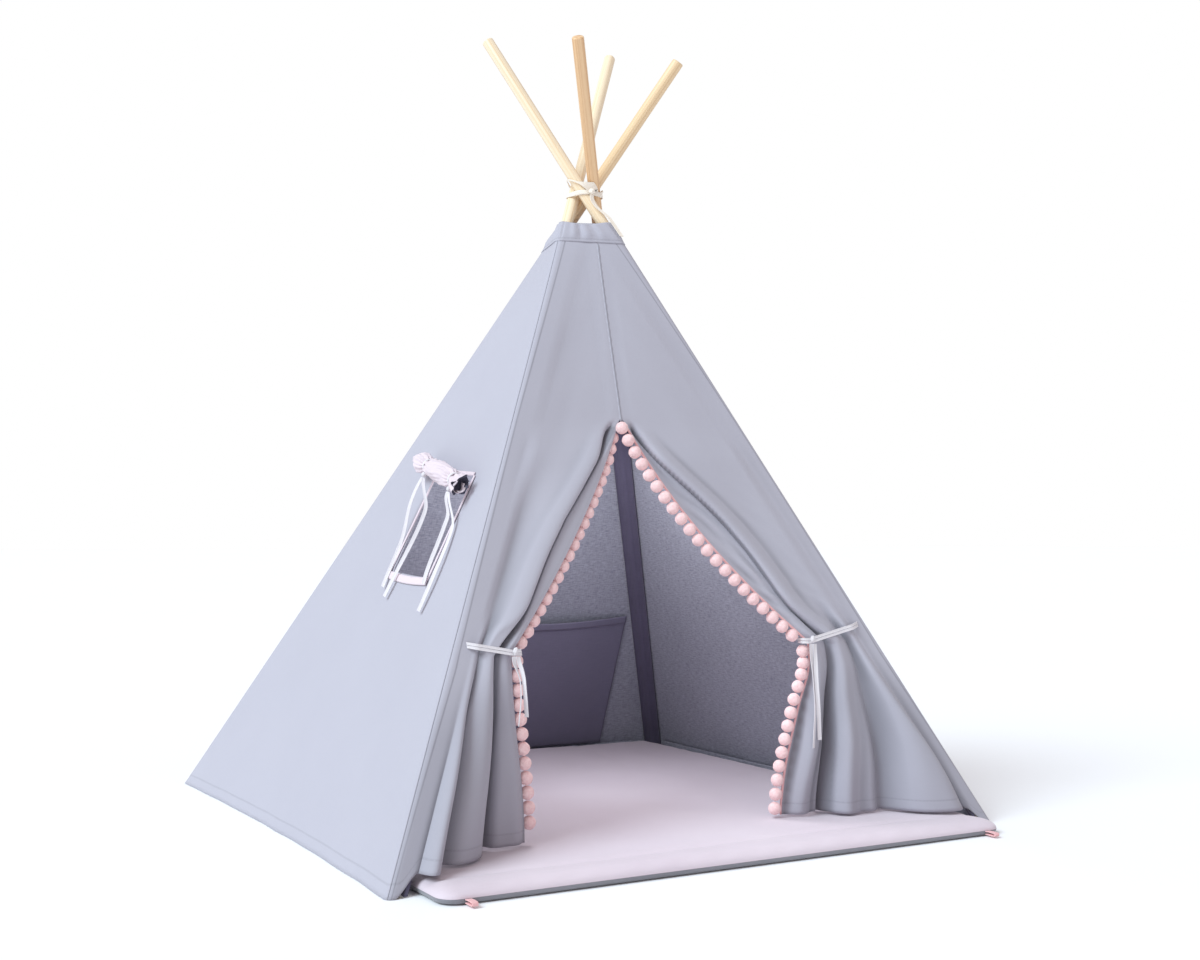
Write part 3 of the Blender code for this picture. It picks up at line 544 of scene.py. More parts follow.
# A flat tape along a route; across(share) is the way its width runs, cup bends it in section
def tape(name, route, width, thick, across, paint, cup=0.0):
    last = len(route) - 1
    run = [routeLength(route[: k + 1]) for k in range(last + 1)]

    def place(share, up):
        k = round(up * last)
        way = route[min(k + 1, last)] - route[max(k - 1, 0)]
        wide = across(k / last)
        lift = wide.cross(way).normalized()
        return route[k] + wide * (width * (share - 0.5)) + lift * (cup * (1 - (2 * share - 1) ** 2))

    def chart(share, up):
        return (width * share, run[round(up * last)])

    made = clothGrid(name, 4, last, place, chart, [paint], thick, side=0)
    edge = made.modifiers.new("softEdge", "BEVEL")
    edge.width = thick * 0.3
    edge.segments = 2
    edge.limit_method = "ANGLE"
    edge.angle_limit = radians(50)
    return made


def hangTape(name, points, width, thick, across, paint, cup, *settled, **folding):
    route = smoothRoute(points, 4)
    strip = tape(name + "_tape", route, width, thick, across, paint, cup)
    settle(strip, *settled, [name], **folding)
    tuple(route[0])
    routeLength(route)
    [tuple(p) for p in route]


def knotBall(name, middle, axis, sizes, paint):
    bm = bmesh.new()
    bmesh.ops.create_icosphere(bm, subdivisions=4, radius=0.5)
    turn = axis.to_track_quat("Z", "Y").to_matrix()
    for v in bm.verts:
        p = v.co * 2
        wrap = sin(2.2 * atan2(p.y, p.x) + 5.5 * p.z)
        strand = 1 - 0.13 * (1 - abs(wrap)) ** 2 + 0.03 * sin(9 * p.x + 4 * p.y)
        v.co = middle + turn @ (v.co * Vector(sizes) * strand)
    chartFaces(bm, lambda v: (v.co.x + v.co.y - middle.x - middle.y, v.co.z - middle.z))
    return hold(name + "_wraps", bm, paint)


# Poles: turned rods with rounded ends
poleWoods = {"pole_br": pineBrowner, "pole_bl": pineTan}


def makePole(index, pole):
    radius = stand["poleDiameter"] / 2
    rounding = stand["poleEndRound"]
    reaches = []
    for angle in (0, pi / 4, pi / 2):
        r = radius - rounding + rounding * sin(angle)
        inset = rounding * (1 - cos(angle))
        reaches.append((stand["crossingHeight"] - r * sin(pole.lean)) / cos(pole.lean) + inset)
    length = stand["poleLengths"][index]
    down = min(reaches)
    bm = bmesh.new()
    bmesh.ops.create_cone(
        bm,
        cap_ends=True,
        segments=stand["poleSegments"],
        radius1=radius,
        radius2=radius,
        depth=length,
        matrix=Matrix.Translation((0, 0, length / 2 - down)),
    )
    rims = [e for e in bm.edges if abs(e.verts[0].co.z - e.verts[1].co.z) < 0.001]
    bmesh.ops.bevel(bm, geom=rims, offset=rounding, segments=4, profile=0.5, affect="EDGES", material=-1)
    for k in range(1, stand["poleRings"]):
        cutAcross(bm, (0, 0, length * k / stand["poleRings"] - down), (0, 0, 1))
    grain = bm.verts.layers.float_vector.new("grain")
    for v in bm.verts:
        v[grain] = v.co + Vector((0.31, 0.17, 0.9)) * index
    turn = Matrix.Rotation(atan2(pole.along.y, pole.along.x), 4, "Z") @ Matrix.Rotation(pole.lean, 4, "Y")
    bmesh.ops.transform(bm, matrix=Matrix.Translation(pole.pivot) @ turn, verts=bm.verts[:])
    made = hold(pole.name + "_rod", bm, poleWoods.get(pole.name, pinePale))
    made.data.set_sharp_from_angle(angle=radians(50))
    settle(made, pole.name, "pine_honey" if pole.name == "pole_br" else "pine", [pole.name])


for index, pole in enumerate(poles):
    makePole(index, pole)
print("poles turned")


# Plain walls, with the window's opening in the left one
walls = {
    1: dict(side="right", body="pole_br", swell=0.0030, crumple=0.0009, seed=3.1),
    2: dict(side="back", body="pole_bl", swell=0.0040, crumple=0.0028, seed=7.7),
    3: dict(side="left", body="pole_bl", swell=0.0016, crumple=0.0004, seed=1.3),
}
window = dict(
    width=0.200, height=0.212, low=0.467, aside=0.082, slope=0.042, headSlope=0.080, bindingSide=0.006,
    bindingFoot=0.014, bindingThick=0.0014, bindingLap=0.0008, bindingLift=0.0026, bindingCrown=0.0008,
    bindingGrid=(28, 5), sag=0.004,
)
windowMiddle = window["low"] + window["height"] / 2 * cos(leans[3])


def wallRelief(i, x, z):
    look = walls[i]
    seed = look["seed"]
    long = look["swell"] * ripple(x * 2.4 + seed, z * 1.6, seed)
    small = look["crumple"] * ripple(x * 14, z * 9 + seed, seed * 2)
    hung = cover["hungDepth"] * ripple(x * 9 + seed, z * 0.8, seed * 3) * (1 - smooth(z / 0.16))
    gathers = cover["gatherDepth"] * sin(x * 2 * pi / cover["gatherPitch"]) * smooth((z - 1.0) / 0.12)
    return smooth((peak - cover["bandDrop"] - 0.002 - z) / 0.07) * (long + small + hung + gathers)


def wallSpot(i, share, z):
    part = cover["cornerShare"]
    turned = cornerTurn(i, share, z, skin, part, seat)
    if turned is not None:
        return raised(turned, z)
    flat = (share - part) / (1 - 2 * part)
    a, b, n = wallEnds(i, z)
    wide = (b - a).length
    calm = smooth(min(flat, 1 - flat) * wide / 0.05)
    out = wallRelief(i, (flat - 0.5) * wide, z) * calm - slackAt(i, flat, z)
    return raised(a.lerp(b, flat) + n * out, z)


def wallFrame(i, sideways, z):
    origin = onWall(i, sideways, z, 0)
    across = (onWall(i, sideways + window["width"] / 4, z, 0) - origin).normalized()
    climb = (onWall(i, sideways, z + window["height"] / 4, 0) - origin).normalized()
    out = across.cross(climb).normalized()
    return origin, across, out.cross(across), out


def cutWindow(bm):
    origin, across, climb, out = wallFrame(3, window["aside"], windowMiddle)
    w = window["width"] / 2
    h = window["height"] / 2
    lines = [(origin - across * w, across), (origin + across * w, -across)]
    for way, slope in ((1, window["slope"]), (-1, window["headSlope"])):
        inward = (climb + across * slope).normalized() * way
        lines.append((origin - climb * (way * h + slope * w), inward))
    for spot, inward in lines:
        cutAcross(bm, spot, inward)
    inside = []
    for face in bm.faces:
        middle = face.calc_center_median()
        if all((middle - spot).dot(inward) > 0 for spot, inward in lines):
            inside.append(face)
    bmesh.ops.delete(bm, geom=inside, context="FACES")


def makeWall(i, look):
    slant = 1 / cos(leans[i])

    def span(up):
        return wallWidth(i, up * peak) + stand["poleDiameter"]

    def sewn(across, up):
        frontCorner = {1: across, 3: 1 - across}.get(i, 1)
        edge = 1.0 if frontCorner < 0.2 else min(across, 1 - across) * span(up)
        return (edge, up * peak * slant, edge)

    made = clothGrid(
        "wall_" + look["side"] + "_cloth",
        cover["columns"],
        cover["rows"],
        lambda across, up: wallSpot(i, across, up * peak),
        lambda across, up: ((across - 0.5) * span(up), up * peak * slant),
        [coverCloth, coverInsideShaded],
        cover["thick"],
        sewn=sewn,
        cut=cutWindow if i == 3 else None,
    )
    settle(made, look["body"], "cover_grey", ["wall_" + look["side"]], wall=i)
    opening = window["width"] * window["height"] if i == 3 else 0
    area = (span(0) + span(1)) / 2 * peak * slant - opening
    span(0)


def makeHem(i, look):
    half = wallWidth(i, 0) / 2 - cover["hemEnd"] - stand["poleDiameter"]
    thick = cover["hemThick"]
    low = cover["hemLift"]

    def place(across, up):
        z = low + (cover["hemHeight"] - low) * up
        wave = cover["hemWave"] * sin(across * 90 + i)
        return onWall(i, half * (2 * across - 1), z, wave - 2 * seat - cover["hemLap"])

    def chart(across, up):
        return (half * 2 * across, cover["hemHeight"] * up)

    name = "hem_" + look["side"]
    made = clothGrid(name + "_fold", *cover["hemGrid"], place, chart, [coverInsideShaded], thick, side=-1)
    settle(made, look["body"], "cover_grey", [name], wall=i)


for make in (makeWall, makeHem):
    for i, look in walls.items():
        make(i, look)
print("walls hung")


# Sleeves round the poles' inner sides: a flange on each wall and a wrap between them
sleeve = dict(
    flange=0.022, thick=0.0010, clear=0.002, lift=0.002, upShare=0.8, wrapFrom=0.2, wraps=14, laps=4,
    rows=60,
)


def sleeveRow(i, z):
    pole = poles[i]
    near = pole.longHalf + sleeve["clear"]
    flange = sleeve["flange"]
    laps = sleeve["laps"]
    inward = -2 * seat - cover["thick"]
    reaches = [flange + (near - flange) * k / laps for k in range(laps + 1)]
    row = [onWall((i - 1) % 4, wallWidth(i - 1, z) / 2 - reach, z, inward) for reach in reaches]
    for k in range(sleeve["wraps"] + 1):
        turned = sleeve["wrapFrom"] + 0.6 * k / sleeve["wraps"]
        way = between(facing(i, z), facing(i - 1, z), turned)
        row.append(raised(pole.rim(z, -way, skin), z))
    return row + [onWall(i, reach - wallWidth(i, z) / 2, z, inward) for reach in reversed(reaches)]


def makeSleeve(i):
    rows = sleeve["rows"]
    low = sleeve["lift"]
    high = apex + (peak - cover["bandDrop"] - apex) * sleeve["upShare"]
    table = [sleeveRow(i, low + (high - low) * k / rows) for k in range(rows + 1)]
    last = len(table[0]) - 1
    slant = 1 / cos(poles[i].lean)
    width = routeLength(table[0])

    def place(across, up):
        return table[round(up * rows)][round(across * last)]

    def chart(across, up):
        return (across * width, (low + (high - low) * up) * slant)

    def sewn(across, up):
        edge = min(across, 1 - across) * width
        return (edge, 1.0, edge)

    name = poles[i].name.replace("pole", "sleeve")
    made = clothGrid(
        name + "_strip", last, rows, place, chart, [sleeveCloth], sleeve["thick"], side=-1, sewn=sewn
    )
    settle(made, poles[i].name, "sleeve_grey", [name])


for i in range(4):
    makeSleeve(i)
print("sleeves sewn")


# Gathered casing round the top
def bandSpot(share, z, out, depth):
    part = cover["bandCorner"]
    i = int(share * 4) % 4
    local = share * 4 - int(share * 4)
    turned = cornerTurn(i, local, z, out, part)
    if turned is not None:
        return turned
    flat = (local - part) / (1 - 2 * part)
    pleat = 0.5 - 0.5 * cos(2 * pi * cover["pleatsASide"] * flat)
    a, b, n = wallEnds(i, z, out)
    return a.lerp(b, flat) + n * depth * pleat**0.6


def makeCasing():
    out = skin + cover["thick"] * 1.15 + seat
    low = peak - cover["bandDrop"]
    tall = cover["bandDrop"] + cover["bandRise"]

    def place(across, up):
        z = low + tall * up
        free = smooth(up / 0.4)
        spot = bandSpot(across % 1, z, out - 0.0008 * (1 - free), cover["pleatDepth"] * free)
        dip = cover["bandDip"] * sin(pi * ((across * 4) % 1)) ** 2 * smooth((up - 0.4) / 0.6)
        wrinkles = sin(2 * pi * cover["wrinkleCount"] * across + 2 * sin(across * 19))
        puff = cover["bandPuff"] * sin(pi * up) + cover["bandWrinkle"] * free * wrinkles
        return raised(spot + (spot - crossing).normalized() * puff, z - dip)

    def chart(across, up):
        return (across * cover["bandGirth"], tall * up)

    def sewn(across, up):
        return (1.0, tall * up + cotton["hemStitch"] - 0.006, 1.0)

    made = clothGrid(
        "top_casing_gathers",
        *cover["bandGrid"],
        place,
        chart,
        [coverCloth],
        cover["bandThick"],
        sewn=sewn,
        closed=True,
    )
    settle(made, "cover", "cover_grey", ["top_casing"])


makeCasing()
print("casing gathered")


# The two front halves. Folds above the tie are measured inwards from the doorway's edge: a band, a deep
# crease, a rolled lip, and a wide valley further in.
curtains = {
    -1: dict(
        word="left", body="pole_fl", band=(0.007, 0.042, 0.018), crown=0.0030, crease=0.030,
        creaseWide=0.0068, lip=0.013, lipAt=0.021, lipWide=0.015, flank=0.008, slide=0.015,
        valley=-0.016, valleyAt=0.30, pulls=0.0, ridge=0.0, seed=4.4,
    ),
    1: dict(
        word="right", body="pole_fr", band=(0.010, 0.074, 0.034), crown=-0.0050, crease=0.030,
        creaseWide=0.0058, lip=0.014, lipAt=0.017, lipWide=0.012, flank=0.005, slide=0.018,
        valley=-0.006, valleyAt=0.45, pulls=0.0018, ridge=0.0040, seed=9.2,
    ),
}


def seamX(z):
    return doorway["aside"] * (peak - z) / (peak - apex)


def frontY(x, z):
    a, b, n = wallEnds(0, z)
    return a.y + (b.y - a.y) * (x - a.x) / (b.x - a.x)


def doorwayHalf(side, z):
    notch = doorway["notchHalfWidth"]
    tied = doorway["tieHalfWidth"]
    if z >= tieAt:
        t = (apex - z) / (apex - tieAt)
        bow = doorway["bows"][side]
        return notch + (tied - notch) * t * (1 - bow + bow * t)
    s = (tieAt - z) / (tieAt - hemAt)
    swung = doorway["underTie"] * bell((s - 0.16) / 0.15) if side > 0 else 0
    return tied + swung + (doorway["footHalfWidths"][side] - tied) * smooth(s)


def openFolds(side, inward, share, t, z):
    look = curtains[side]
    first, wide, last = look["band"]
    grown = smooth(t / 0.5) if side > 0 else min(1, t / 0.45) ** 0.85
    band = first + (wide - first) * grown + (last - wide) * smooth((t - 0.55) / 0.45)
    past = inward - band
    within = min(1, max(0, inward / band))
    crown = look["crown"] * sin(pi * within)
    crease = -look["crease"] * bell((past - 0.002) / look["creaseWide"])
    lip = look["lip"] * bell((past - look["lipAt"]) / look["lipWide"]) + look["flank"] * smooth(past / 0.05)
    slide = look["slide"] * bell((past - look["lipAt"] + 0.004) / 0.012)
    wrinkle = sin(inward * 150 + z * 95 + 2 * sin(z * 31))
    wrinkle = wrinkle * bell((within - 0.45) / 0.4) * smooth((t - 0.2) / 0.3)
    ridge = look["ridge"] * bell((inward - band * 0.55) / 0.010) * smooth((t - 0.35) / 0.3)
    valley = look["valley"] * bell((share - look["valleyAt"]) / 0.20) * smooth(t / 0.55)
    sharp = smooth(t / 0.2)
    rise = smooth(t / 0.06) * (crown + crease * (0.55 + 0.45 * sharp))
    return rise + sharp * (lip + ridge + look["pulls"] * wrinkle) + valley, sharp * slide


def gatheredFolds(share, swing, s, side):
    uneven = 0.055 * sin(2 * pi * share + 0.8 * side) * smooth(s * 3)
    wave = 2 * pi * doorway["foldCount"] * (share + uneven) + 0.9 * smooth(s) * sin(3 * s + side)
    folds = sin(wave + 0.45 * sin(wave)) + 0.20 * sin(2.3 * wave + 1.1 + side) * smooth(s)
    return -swing * folds, swing * doorway["foldLeanShare"] * (cos(wave) - 1)


def curtainSpot(side, share, z):
    n = facing(0, z)
    start = poles[1 if side > 0 else 0].rim(z, n, skin)
    x = seamX(z) + side * seat if z >= apex else doorway["aside"] + side * doorwayHalf(side, z)
    finish = Vector((x, frontY(x, z)))
    width = (finish - start).length
    reach = share * width
    calm = smooth((1 - share) / doorway["calmShare"])
    nearEdge = smooth((1 - share) * width / 0.03)
    seed = curtains[side]["seed"]
    relief = doorway["swell"] * ripple(reach * 6 + seed, z * 2.2, seed)
    relief += doorway["crumple"] * ripple(reach * 22, z * 9, seed)
    crown = doorway["crown"] * sin(pi * share)
    slide = 0
    back = 0
    if z >= apex:
        relief = (relief + crown * smooth((peak - z) / 0.3) * side) * nearEdge
    elif z >= tieAt:
        t = (apex - z) / (apex - tieAt)
        rise, slide = openFolds(side, width - reach, share, t, z)
        gather = smooth((t - 0.80) / 0.20)
        tied, tiedSlide = gatheredFolds(share, doorway["foldAtTie"], 0, side)
        relief += rise * (1 - gather * 0.6) + tied * calm * gather
        relief += crown * (1 - smooth(t / 0.5)) * side * nearEdge
        slide = slide * (1 - gather) + tiedSlide * calm * gather
        most = doorway["openMost"] + (doorway["tiedMost"] - doorway["openMost"]) * smooth((t - 0.78) / 0.16)
        relief = max(-most, min(most, relief))
    else:
        back = frontY(doorway["aside"] + side * doorway["tieHalfWidth"], tieAt) - frontY(x, z)
        s = (tieAt - z) / (tieAt - hemAt)
        swing = doorway["foldAtTie"] + (doorway["foldAtFoot"] - doorway["foldAtTie"]) * smooth(s * 1.5)
        rise, slide = gatheredFolds(share, swing, s, side)
        relief = relief * smooth(s / 0.2) + rise * calm
        slide *= calm
        if s < 0.12:
            most = doorway["tiedMost"] + 0.1 * s
            relief = max(-most, min(most, relief))
    spread = smooth((reach - doorway["foldStart"]) / doorway["foldRise"])
    settled = back * smooth((reach - doorway["foldStart"]) / (width - doorway["foldStart"]))
    out = n * (relief * spread - settled)
    return raised(start.lerp(finish, share) + out + (finish - start).normalized() * (slide * spread), z)


def curtainWidth(side, z):
    return (curtainSpot(side, 1, z) - curtainSpot(side, 0, z)).length


def curtainPlace(side, across, level):
    drop = hemAt * (peak - level) / (peak - hemAt)
    part = doorway["cornerShare"]
    if across < part:
        low = level - drop
        return raised(cornerTurn(0, across if side < 0 else 1 - across, low, skin, part, seat), low)
    share = (across - part) / (1 - part)
    z = level - drop * (1 - smooth(share * curtainWidth(side, level) / doorway["hemLiftRun"]))
    return curtainSpot(side, share, z)


# Painted shade for the curtains: 1 in a valley between two folds, 0 on a ridge and on flat cloth, rising
# towards underShade below the ties; on the left curtain it is moved shadeShift towards the doorway's edge.
def foldShade(side, share, z):  # 1 in a valley between two folds, 0 on a ridge and on flat cloth
    width = curtainWidth(side, z)
    step = doorway["shadeReach"] / width
    share = max(0, share - doorway["shadeShift"][side] / width)
    ridges = curtainSpot(side, max(0, share - step), z) + curtainSpot(side, min(1, share + step), z)
    dip = (ridges * 0.5 - curtainSpot(side, share, z)).dot(raised(facing(0, z), 0))
    valley = min(1, max(0, dip / doorway["shadeDepth"]))
    return valley + (1 - valley) * doorway["underShade"] * smooth((tieAt - z) / 0.12)


def makeCurtain(side, look):
    rows = doorway["rows"]
    slant = 1 / cos(leans[0])
    tall = peak - hemAt
    widths = [curtainWidth(side, hemAt + tall * k / rows) for k in range(rows + 1)]

    def spread(across):  # share from the corner, with finer columns beside the doorway's edge
        return 1 - (across if side > 0 else 1 - across) ** doorway["denser"]

    def sewn(across, up):
        outer = spread(across)
        wide = widths[round(up * rows)]
        inner = 1 - outer if hemAt + tall * up < apex else 1
        # the third value puts the painted seam shade line cornerSeam in from the corner
        return (inner * wide, tall * up * slant, abs(outer * wide - doorway["cornerSeam"]))

    name = "curtain_" + look["word"]
    made = clothGrid(
        name + "_cloth",
        doorway["columns"],
        rows,
        lambda across, up: curtainPlace(side, spread(across), hemAt + tall * up),
        lambda across, up: (spread(across) * widths[round(up * rows)], peak * up * slant),
        [coverCloth, coverInsideShaded],
        cover["thick"],
        sewn=sewn,
        # painted shade in fold valleys and below the tie
        fold=lambda across, up: foldShade(side, spread(across), hemAt + tall * up),
    )
    settle(made, look["body"], "cover_grey", [name], wall=0)


for side, look in curtains.items():
    makeCurtain(side, look)
print("curtains gathered")


def makeFrontSeam():
    tall = peak - cover["bandDrop"] - doorway["seamClear"] - apex
    width = doorway["seamWidth"]

    def place(across, up):
        z = apex + tall * up
        pucker = doorway["seamPucker"] * sin(z * 2 * pi / doorway["puckerPitch"])
        pucker -= doorway["seamCrown"] * (2 * across - 1) ** 2
        x = seamX(z) + (across - 0.5) * width * doorway["fellShare"]
        return Vector((x, frontY(x, z) - cover["thick"] / cos(leans[0]) - pucker, z))

    def chart(across, up):
        return (across * width, tall * up)

    def sewn(across, up):
        # the third value puts a painted shade line down the middle of the fell
        return (1.0, 1.0, abs(across - 0.5) * width * 0.5)

    grid = doorway["seamGrid"]
    thick = doorway["seamThick"]
    made = clothGrid("front_seam_fell", *grid, place, chart, [coverCloth], thick, sewn=sewn)
    settle(made, "pole_fl", "cover_grey", ["front_seam"], wall=0)


makeFrontSeam()


# Pompom trim down both edges of the doorway
trim = dict(
    width=0.0045, thick=0.0014, ball=0.0232, pitch=0.0243, seat=0.0012, tieClear=0.008, steps=150,
    least={-1: 0.004, 1: -0.010}, tuck={-1: 0.014, 1: 0.0}, first={-1: 0.026, 1: 0.011},
    drawnIn={-1: 0.4, 1: 0.0}, braidIn={-1: 0.0052, 1: 0.0010}, behind={-1: 0.0012, 1: 0.0},
    forward={-1: 0.0, 1: 0.008}, tuckIn=0.55, tuckBelow=0.4, topRun=0.07, topAside=0.003, lump=0.05,
    fuzz=0.035, matTop=0.028, keep=0.25,
)


def edgeLine(side):
    line = []
    steps = trim["steps"]
    high = apex - 0.002
    spots = [curtainSpot(side, 1, high + (hemAt - high) * k / steps) for k in range(steps + 1)]
    for k, spot in enumerate(spots):
        down = spots[min(k + 1, steps)] - spots[max(k - 1, 0)]
        lean = leans[0] if spot.z >= tieAt else 0
        outward = Vector((0, -cos(lean), sin(lean)))
        line.append((spot, down.cross(outward).normalized() * side, outward))
    return line


def ballPlaces(side, line):
    places = []
    due = trim["first"][side]
    radius = trim["ball"] / 2
    for (a, awayA, outA), (b, awayB, outB) in zip(line, line[1:]):
        length = (b - a).length
        while due < length:
            share = due / length
            away = awayA.lerp(awayB, share).normalized()
            tuck = trim["tuck"][side] * (1 if a.z > tieAt else trim["tuckBelow"])
            nearTop = 1 - smooth((line[0][0].z - a.z) / trim["topRun"])
            reach = trim["width"] - trim["seat"] + radius - tuck * trim["tuckIn"]
            reach *= 1 - trim["drawnIn"][side] * nearTop
            forward = trim["thick"] / 2 - tuck + trim["forward"][side] * nearTop
            middle = a.lerp(b, share) + away * reach + outA * forward
            middle.x -= trim["topAside"] * nearTop
            clear = side * (middle.x - doorway["aside"]) > trim["least"][side]
            overMat = middle.z - radius > trim["matTop"]
            if clear and overMat and abs(middle.z - tieAt) >= trim["tieClear"]:
                places.append(middle)
            due += trim["pitch"]
        due -= length
    return places


def makeTrim(side, look):
    line = edgeLine(side)
    last = len(line) - 1
    length = routeLength([spot for spot, away, out in line])

    def place(across, up):
        spot, away, out = line[last - round(up * last)]
        share = across if side < 0 else 1 - across
        inward = trim["width"] * share - trim["braidIn"][side]
        return spot + away * inward + out * (0.0002 - trim["behind"][side])

    def chart(across, up):
        return (across * trim["width"], length * up)

    name = "pompom_trim_" + look["word"]
    braid = clothGrid(name + "_braid", 4, last, place, chart, [braidPink], trim["thick"])
    settle(braid, look["body"], "pompom_pink", [name], wall=0)
    bm = bmesh.new()
    for k, middle in enumerate(ballPlaces(side, line)):
        ball = bmesh.ops.create_icosphere(bm, subdivisions=4, radius=trim["ball"] / 2)
        for v in ball["verts"]:
            unit = v.co.normalized()
            lump = noise.noise(unit * 2.1 + Vector((k, side * 7, 0)))
            fuzz = noise.noise(unit * 9.0 + Vector((k * 3, 0, side)))
            v.co = middle + v.co * (1 + trim["lump"] * lump + trim["fuzz"] * fuzz)
    settle(hold(name + "_balls", bm, pompomPile), look["body"], "pompom_pink", wall=0, keep=trim["keep"])


for side, look in curtains.items():
    makeTrim(side, look)
print("pompoms sewn on")


# Tiebacks, their knots and hanging tails
tie = dict(
    width=0.011, thick=0.0012, cup=0.0006, rises={-1: 0.016, 1: 0.028}, outerStart=0.010, innerStart=0.024,
    turnSteps=5, legSteps=6, knotLength=0.016, knotAcross=0.011, knotKeep=0.5, tailWidth=0.009,
    tailThick=0.0012, tailCup=0.0009, tailKeep=0.4, tailPoints=16, flare=0.004, tailForward=0.013,
    tailDrops={-1: (0.112, 0.098), 1: (0.175, 0.162)}, tailAside={-1: 0.007, 1: -0.002},
    tailEase={-1: 1.0, 1: 1.07}, tailTurns={-1: (1.15, -1.0), 1: (0.5, -0.35)}, tailWave=0.0022,
    tailSway=0.0020, tailStep=0.0016, knotShares=(0.85, 0.85, 0.8),
)


def tiePath(side):
    clearOut = 2 * cover["thick"] + doorway["foldAtTie"] + 3 * seat
    rise = tie["rises"][side]
    legs = tie["legSteps"]
    turns = tie["turnSteps"]
    start = curtainSpot(side, 0, tieAt + rise)
    finish = curtainSpot(side, 1, tieAt)
    width = (finish - start).length

    def place(u, out):
        z = tieAt + rise * (1 - u)
        x = start.x + (finish.x - start.x) * u
        return raised(Vector((x, frontY(x, z))) + facing(0, z) * out, z)

    path = []
    for k in range(legs + 1):
        inner = tie["innerStart"] / width
        path.append(place(inner + (1 - inner) * k / legs, -clearOut if k else -2 * seat))
    for k in range(1, turns):
        angle = pi * k / turns
        spot = place(1, cover["thick"] / 2 - clearOut * cos(angle))
        spot.x -= side * (trim["width"] + 4 * seat + clearOut * sin(angle)) * min(1, 2 * sin(angle))
        path.append(spot)
    for k in range(legs + 1):
        u = 1 - (1 - tie["outerStart"] / width) * k / legs
        path.append(place(u, clearOut if k < legs else 1.5 * cover["thick"] + 2 * seat))
    return path


def makeTie(side, look):
    word = look["word"]
    coarse = tiePath(side)
    climb = Vector((0, sin(leans[0]), cos(leans[0])))
    route = smoothRoute(coarse, 6)
    if side < 0:
        route.reverse()
    for level, shift in (("upper", 0.26), ("lower", -0.26)):
        strand = [p + climb * (tie["width"] * shift) for p in route]
        name = "tieback_" + word
        wide = tie["width"] * 0.46
        band = tape(
            name + "_" + level, strand, wide, tie["thick"], lambda share: climb, tapeWhite, tie["cup"]
        )
        settle(band, look["body"], "tape_white", [name] if level == "upper" else (), wall=0)
    off = Vector((0, -climb.z, climb.y))
    reach = sqrt((tie["knotAcross"] * climb.z) ** 2 + (tie["knotLength"] * climb.y) ** 2) / 2
    knot = coarse[tie["legSteps"] + tie["turnSteps"]] + off * (tie["thick"] + reach + seat)
    knotSize = (tie["knotAcross"], tie["knotLength"], tie["knotAcross"])
    sizes = [size * share for size, share in zip(knotSize, tie["knotShares"])]
    ball = knotBall("tie_knot_" + word, knot, Vector((0, 1, 0)), sizes, tapeWhite)
    settle(ball, look["body"], "tape_white", ["tie_knot_" + word], wall=0, keep=tie["knotKeep"])
    for which, drop in enumerate(tie["tailDrops"][side]):
        points = []
        for k in range(tie["tailPoints"]):
            share = k / (tie["tailPoints"] - 1)
            begun = smooth(share * 3)
            fall = tie["knotLength"] / 2 + seat + drop * tie["tailEase"][side] * share
            spread = tie["tailWidth"] * 0.8 + tie["flare"] * smooth(share)
            aside = (which - 0.5) * spread + tie["tailWave"] * sin(4.2 * share + which * 2.4) * begun
            aside += tie["tailAside"][side] * smooth(share * 2.5)
            sway = tie["tailSway"] * sin(3.1 * share + which) * begun
            sway += tie["tailForward"] * smooth(share * 1.3)
            points.append(knot + Vector((aside, -sway - tie["tailStep"] * which, -fall)))

        def across(share, end=tie["tailTurns"][side][which]):
            angle = end * smooth(share * 3)
            return Vector((cos(angle), sin(angle), 0))

        hangTape(
            "tie_tail_" + word + "_" + "ab"[which],
            points,
            tie["tailWidth"] * 0.82,
            tie["tailThick"],
            across,
            tapeWhite,
            tie["tailCup"],
            look["body"],
            "tape_white",
            wall=0,
            keep=tie["tailKeep"],
        )


for side, look in curtains.items():
    makeTie(side, look)
print("tiebacks tied")


# Window: its binding, the rolled flap above it and the ribbons that hold the roll
def bindingStrip(word, a, b, c, d):  # the opening's edge a to b, the binding's outer edge d to c
    def place(across, up):
        inner = a + (b - a) * across
        flat = inner + (d + (c - d) * across - inner) * up
        level = smooth(flat.y / window["height"] + 0.5)
        slope = window["slope"] + (window["headSlope"] - window["slope"]) * level
        sag = window["sag"] * sin(pi * across) if word == "foot" else 0
        y = flat.y - sag - slope * (flat.x + window["width"] / 2)
        out = window["bindingLift"] + window["bindingCrown"] * sin(pi * up)
        return onWall(3, window["aside"] + flat.x, windowMiddle + y * cos(leans[3]), out)

    def chart(across, up):
        return ((b - a).length * across, window["bindingFoot" if word == "foot" else "bindingSide"] * up)

    way = 1 if word in ("head", "left") else -1
    grid = window["bindingGrid"]
    thick = window["bindingThick"]
    return clothGrid("window_binding_" + word, *grid, place, chart, [liningCloth], thick, side=way)


def makeBinding():
    w = window["width"] / 2
    h = window["height"] / 2
    s = window["bindingSide"]
    f = window["bindingFoot"]
    lap = window["bindingLap"]
    strips = {
        "foot": ((-w - s, lap - h), (w + s, lap - h), (w + s, -h - f), (-w - s, -h - f)),
        "head": ((-w, h - lap), (w, h - lap), (w, h + s), (-w, h + s)),
        "left": ((lap - w, -h), (lap - w, h), (-w - s, h), (-w - s, -h)),
        "right": ((w - lap, -h), (w - lap, h), (w + s, h), (w + s, -h)),
    }
    for word, corners in strips.items():
        strip = bindingStrip(word, *(Vector(corner) for corner in corners))
        settle(strip, "pole_bl", "lining_pink", ["window_binding"] if word == "foot" else (), wall=3)


makeBinding()

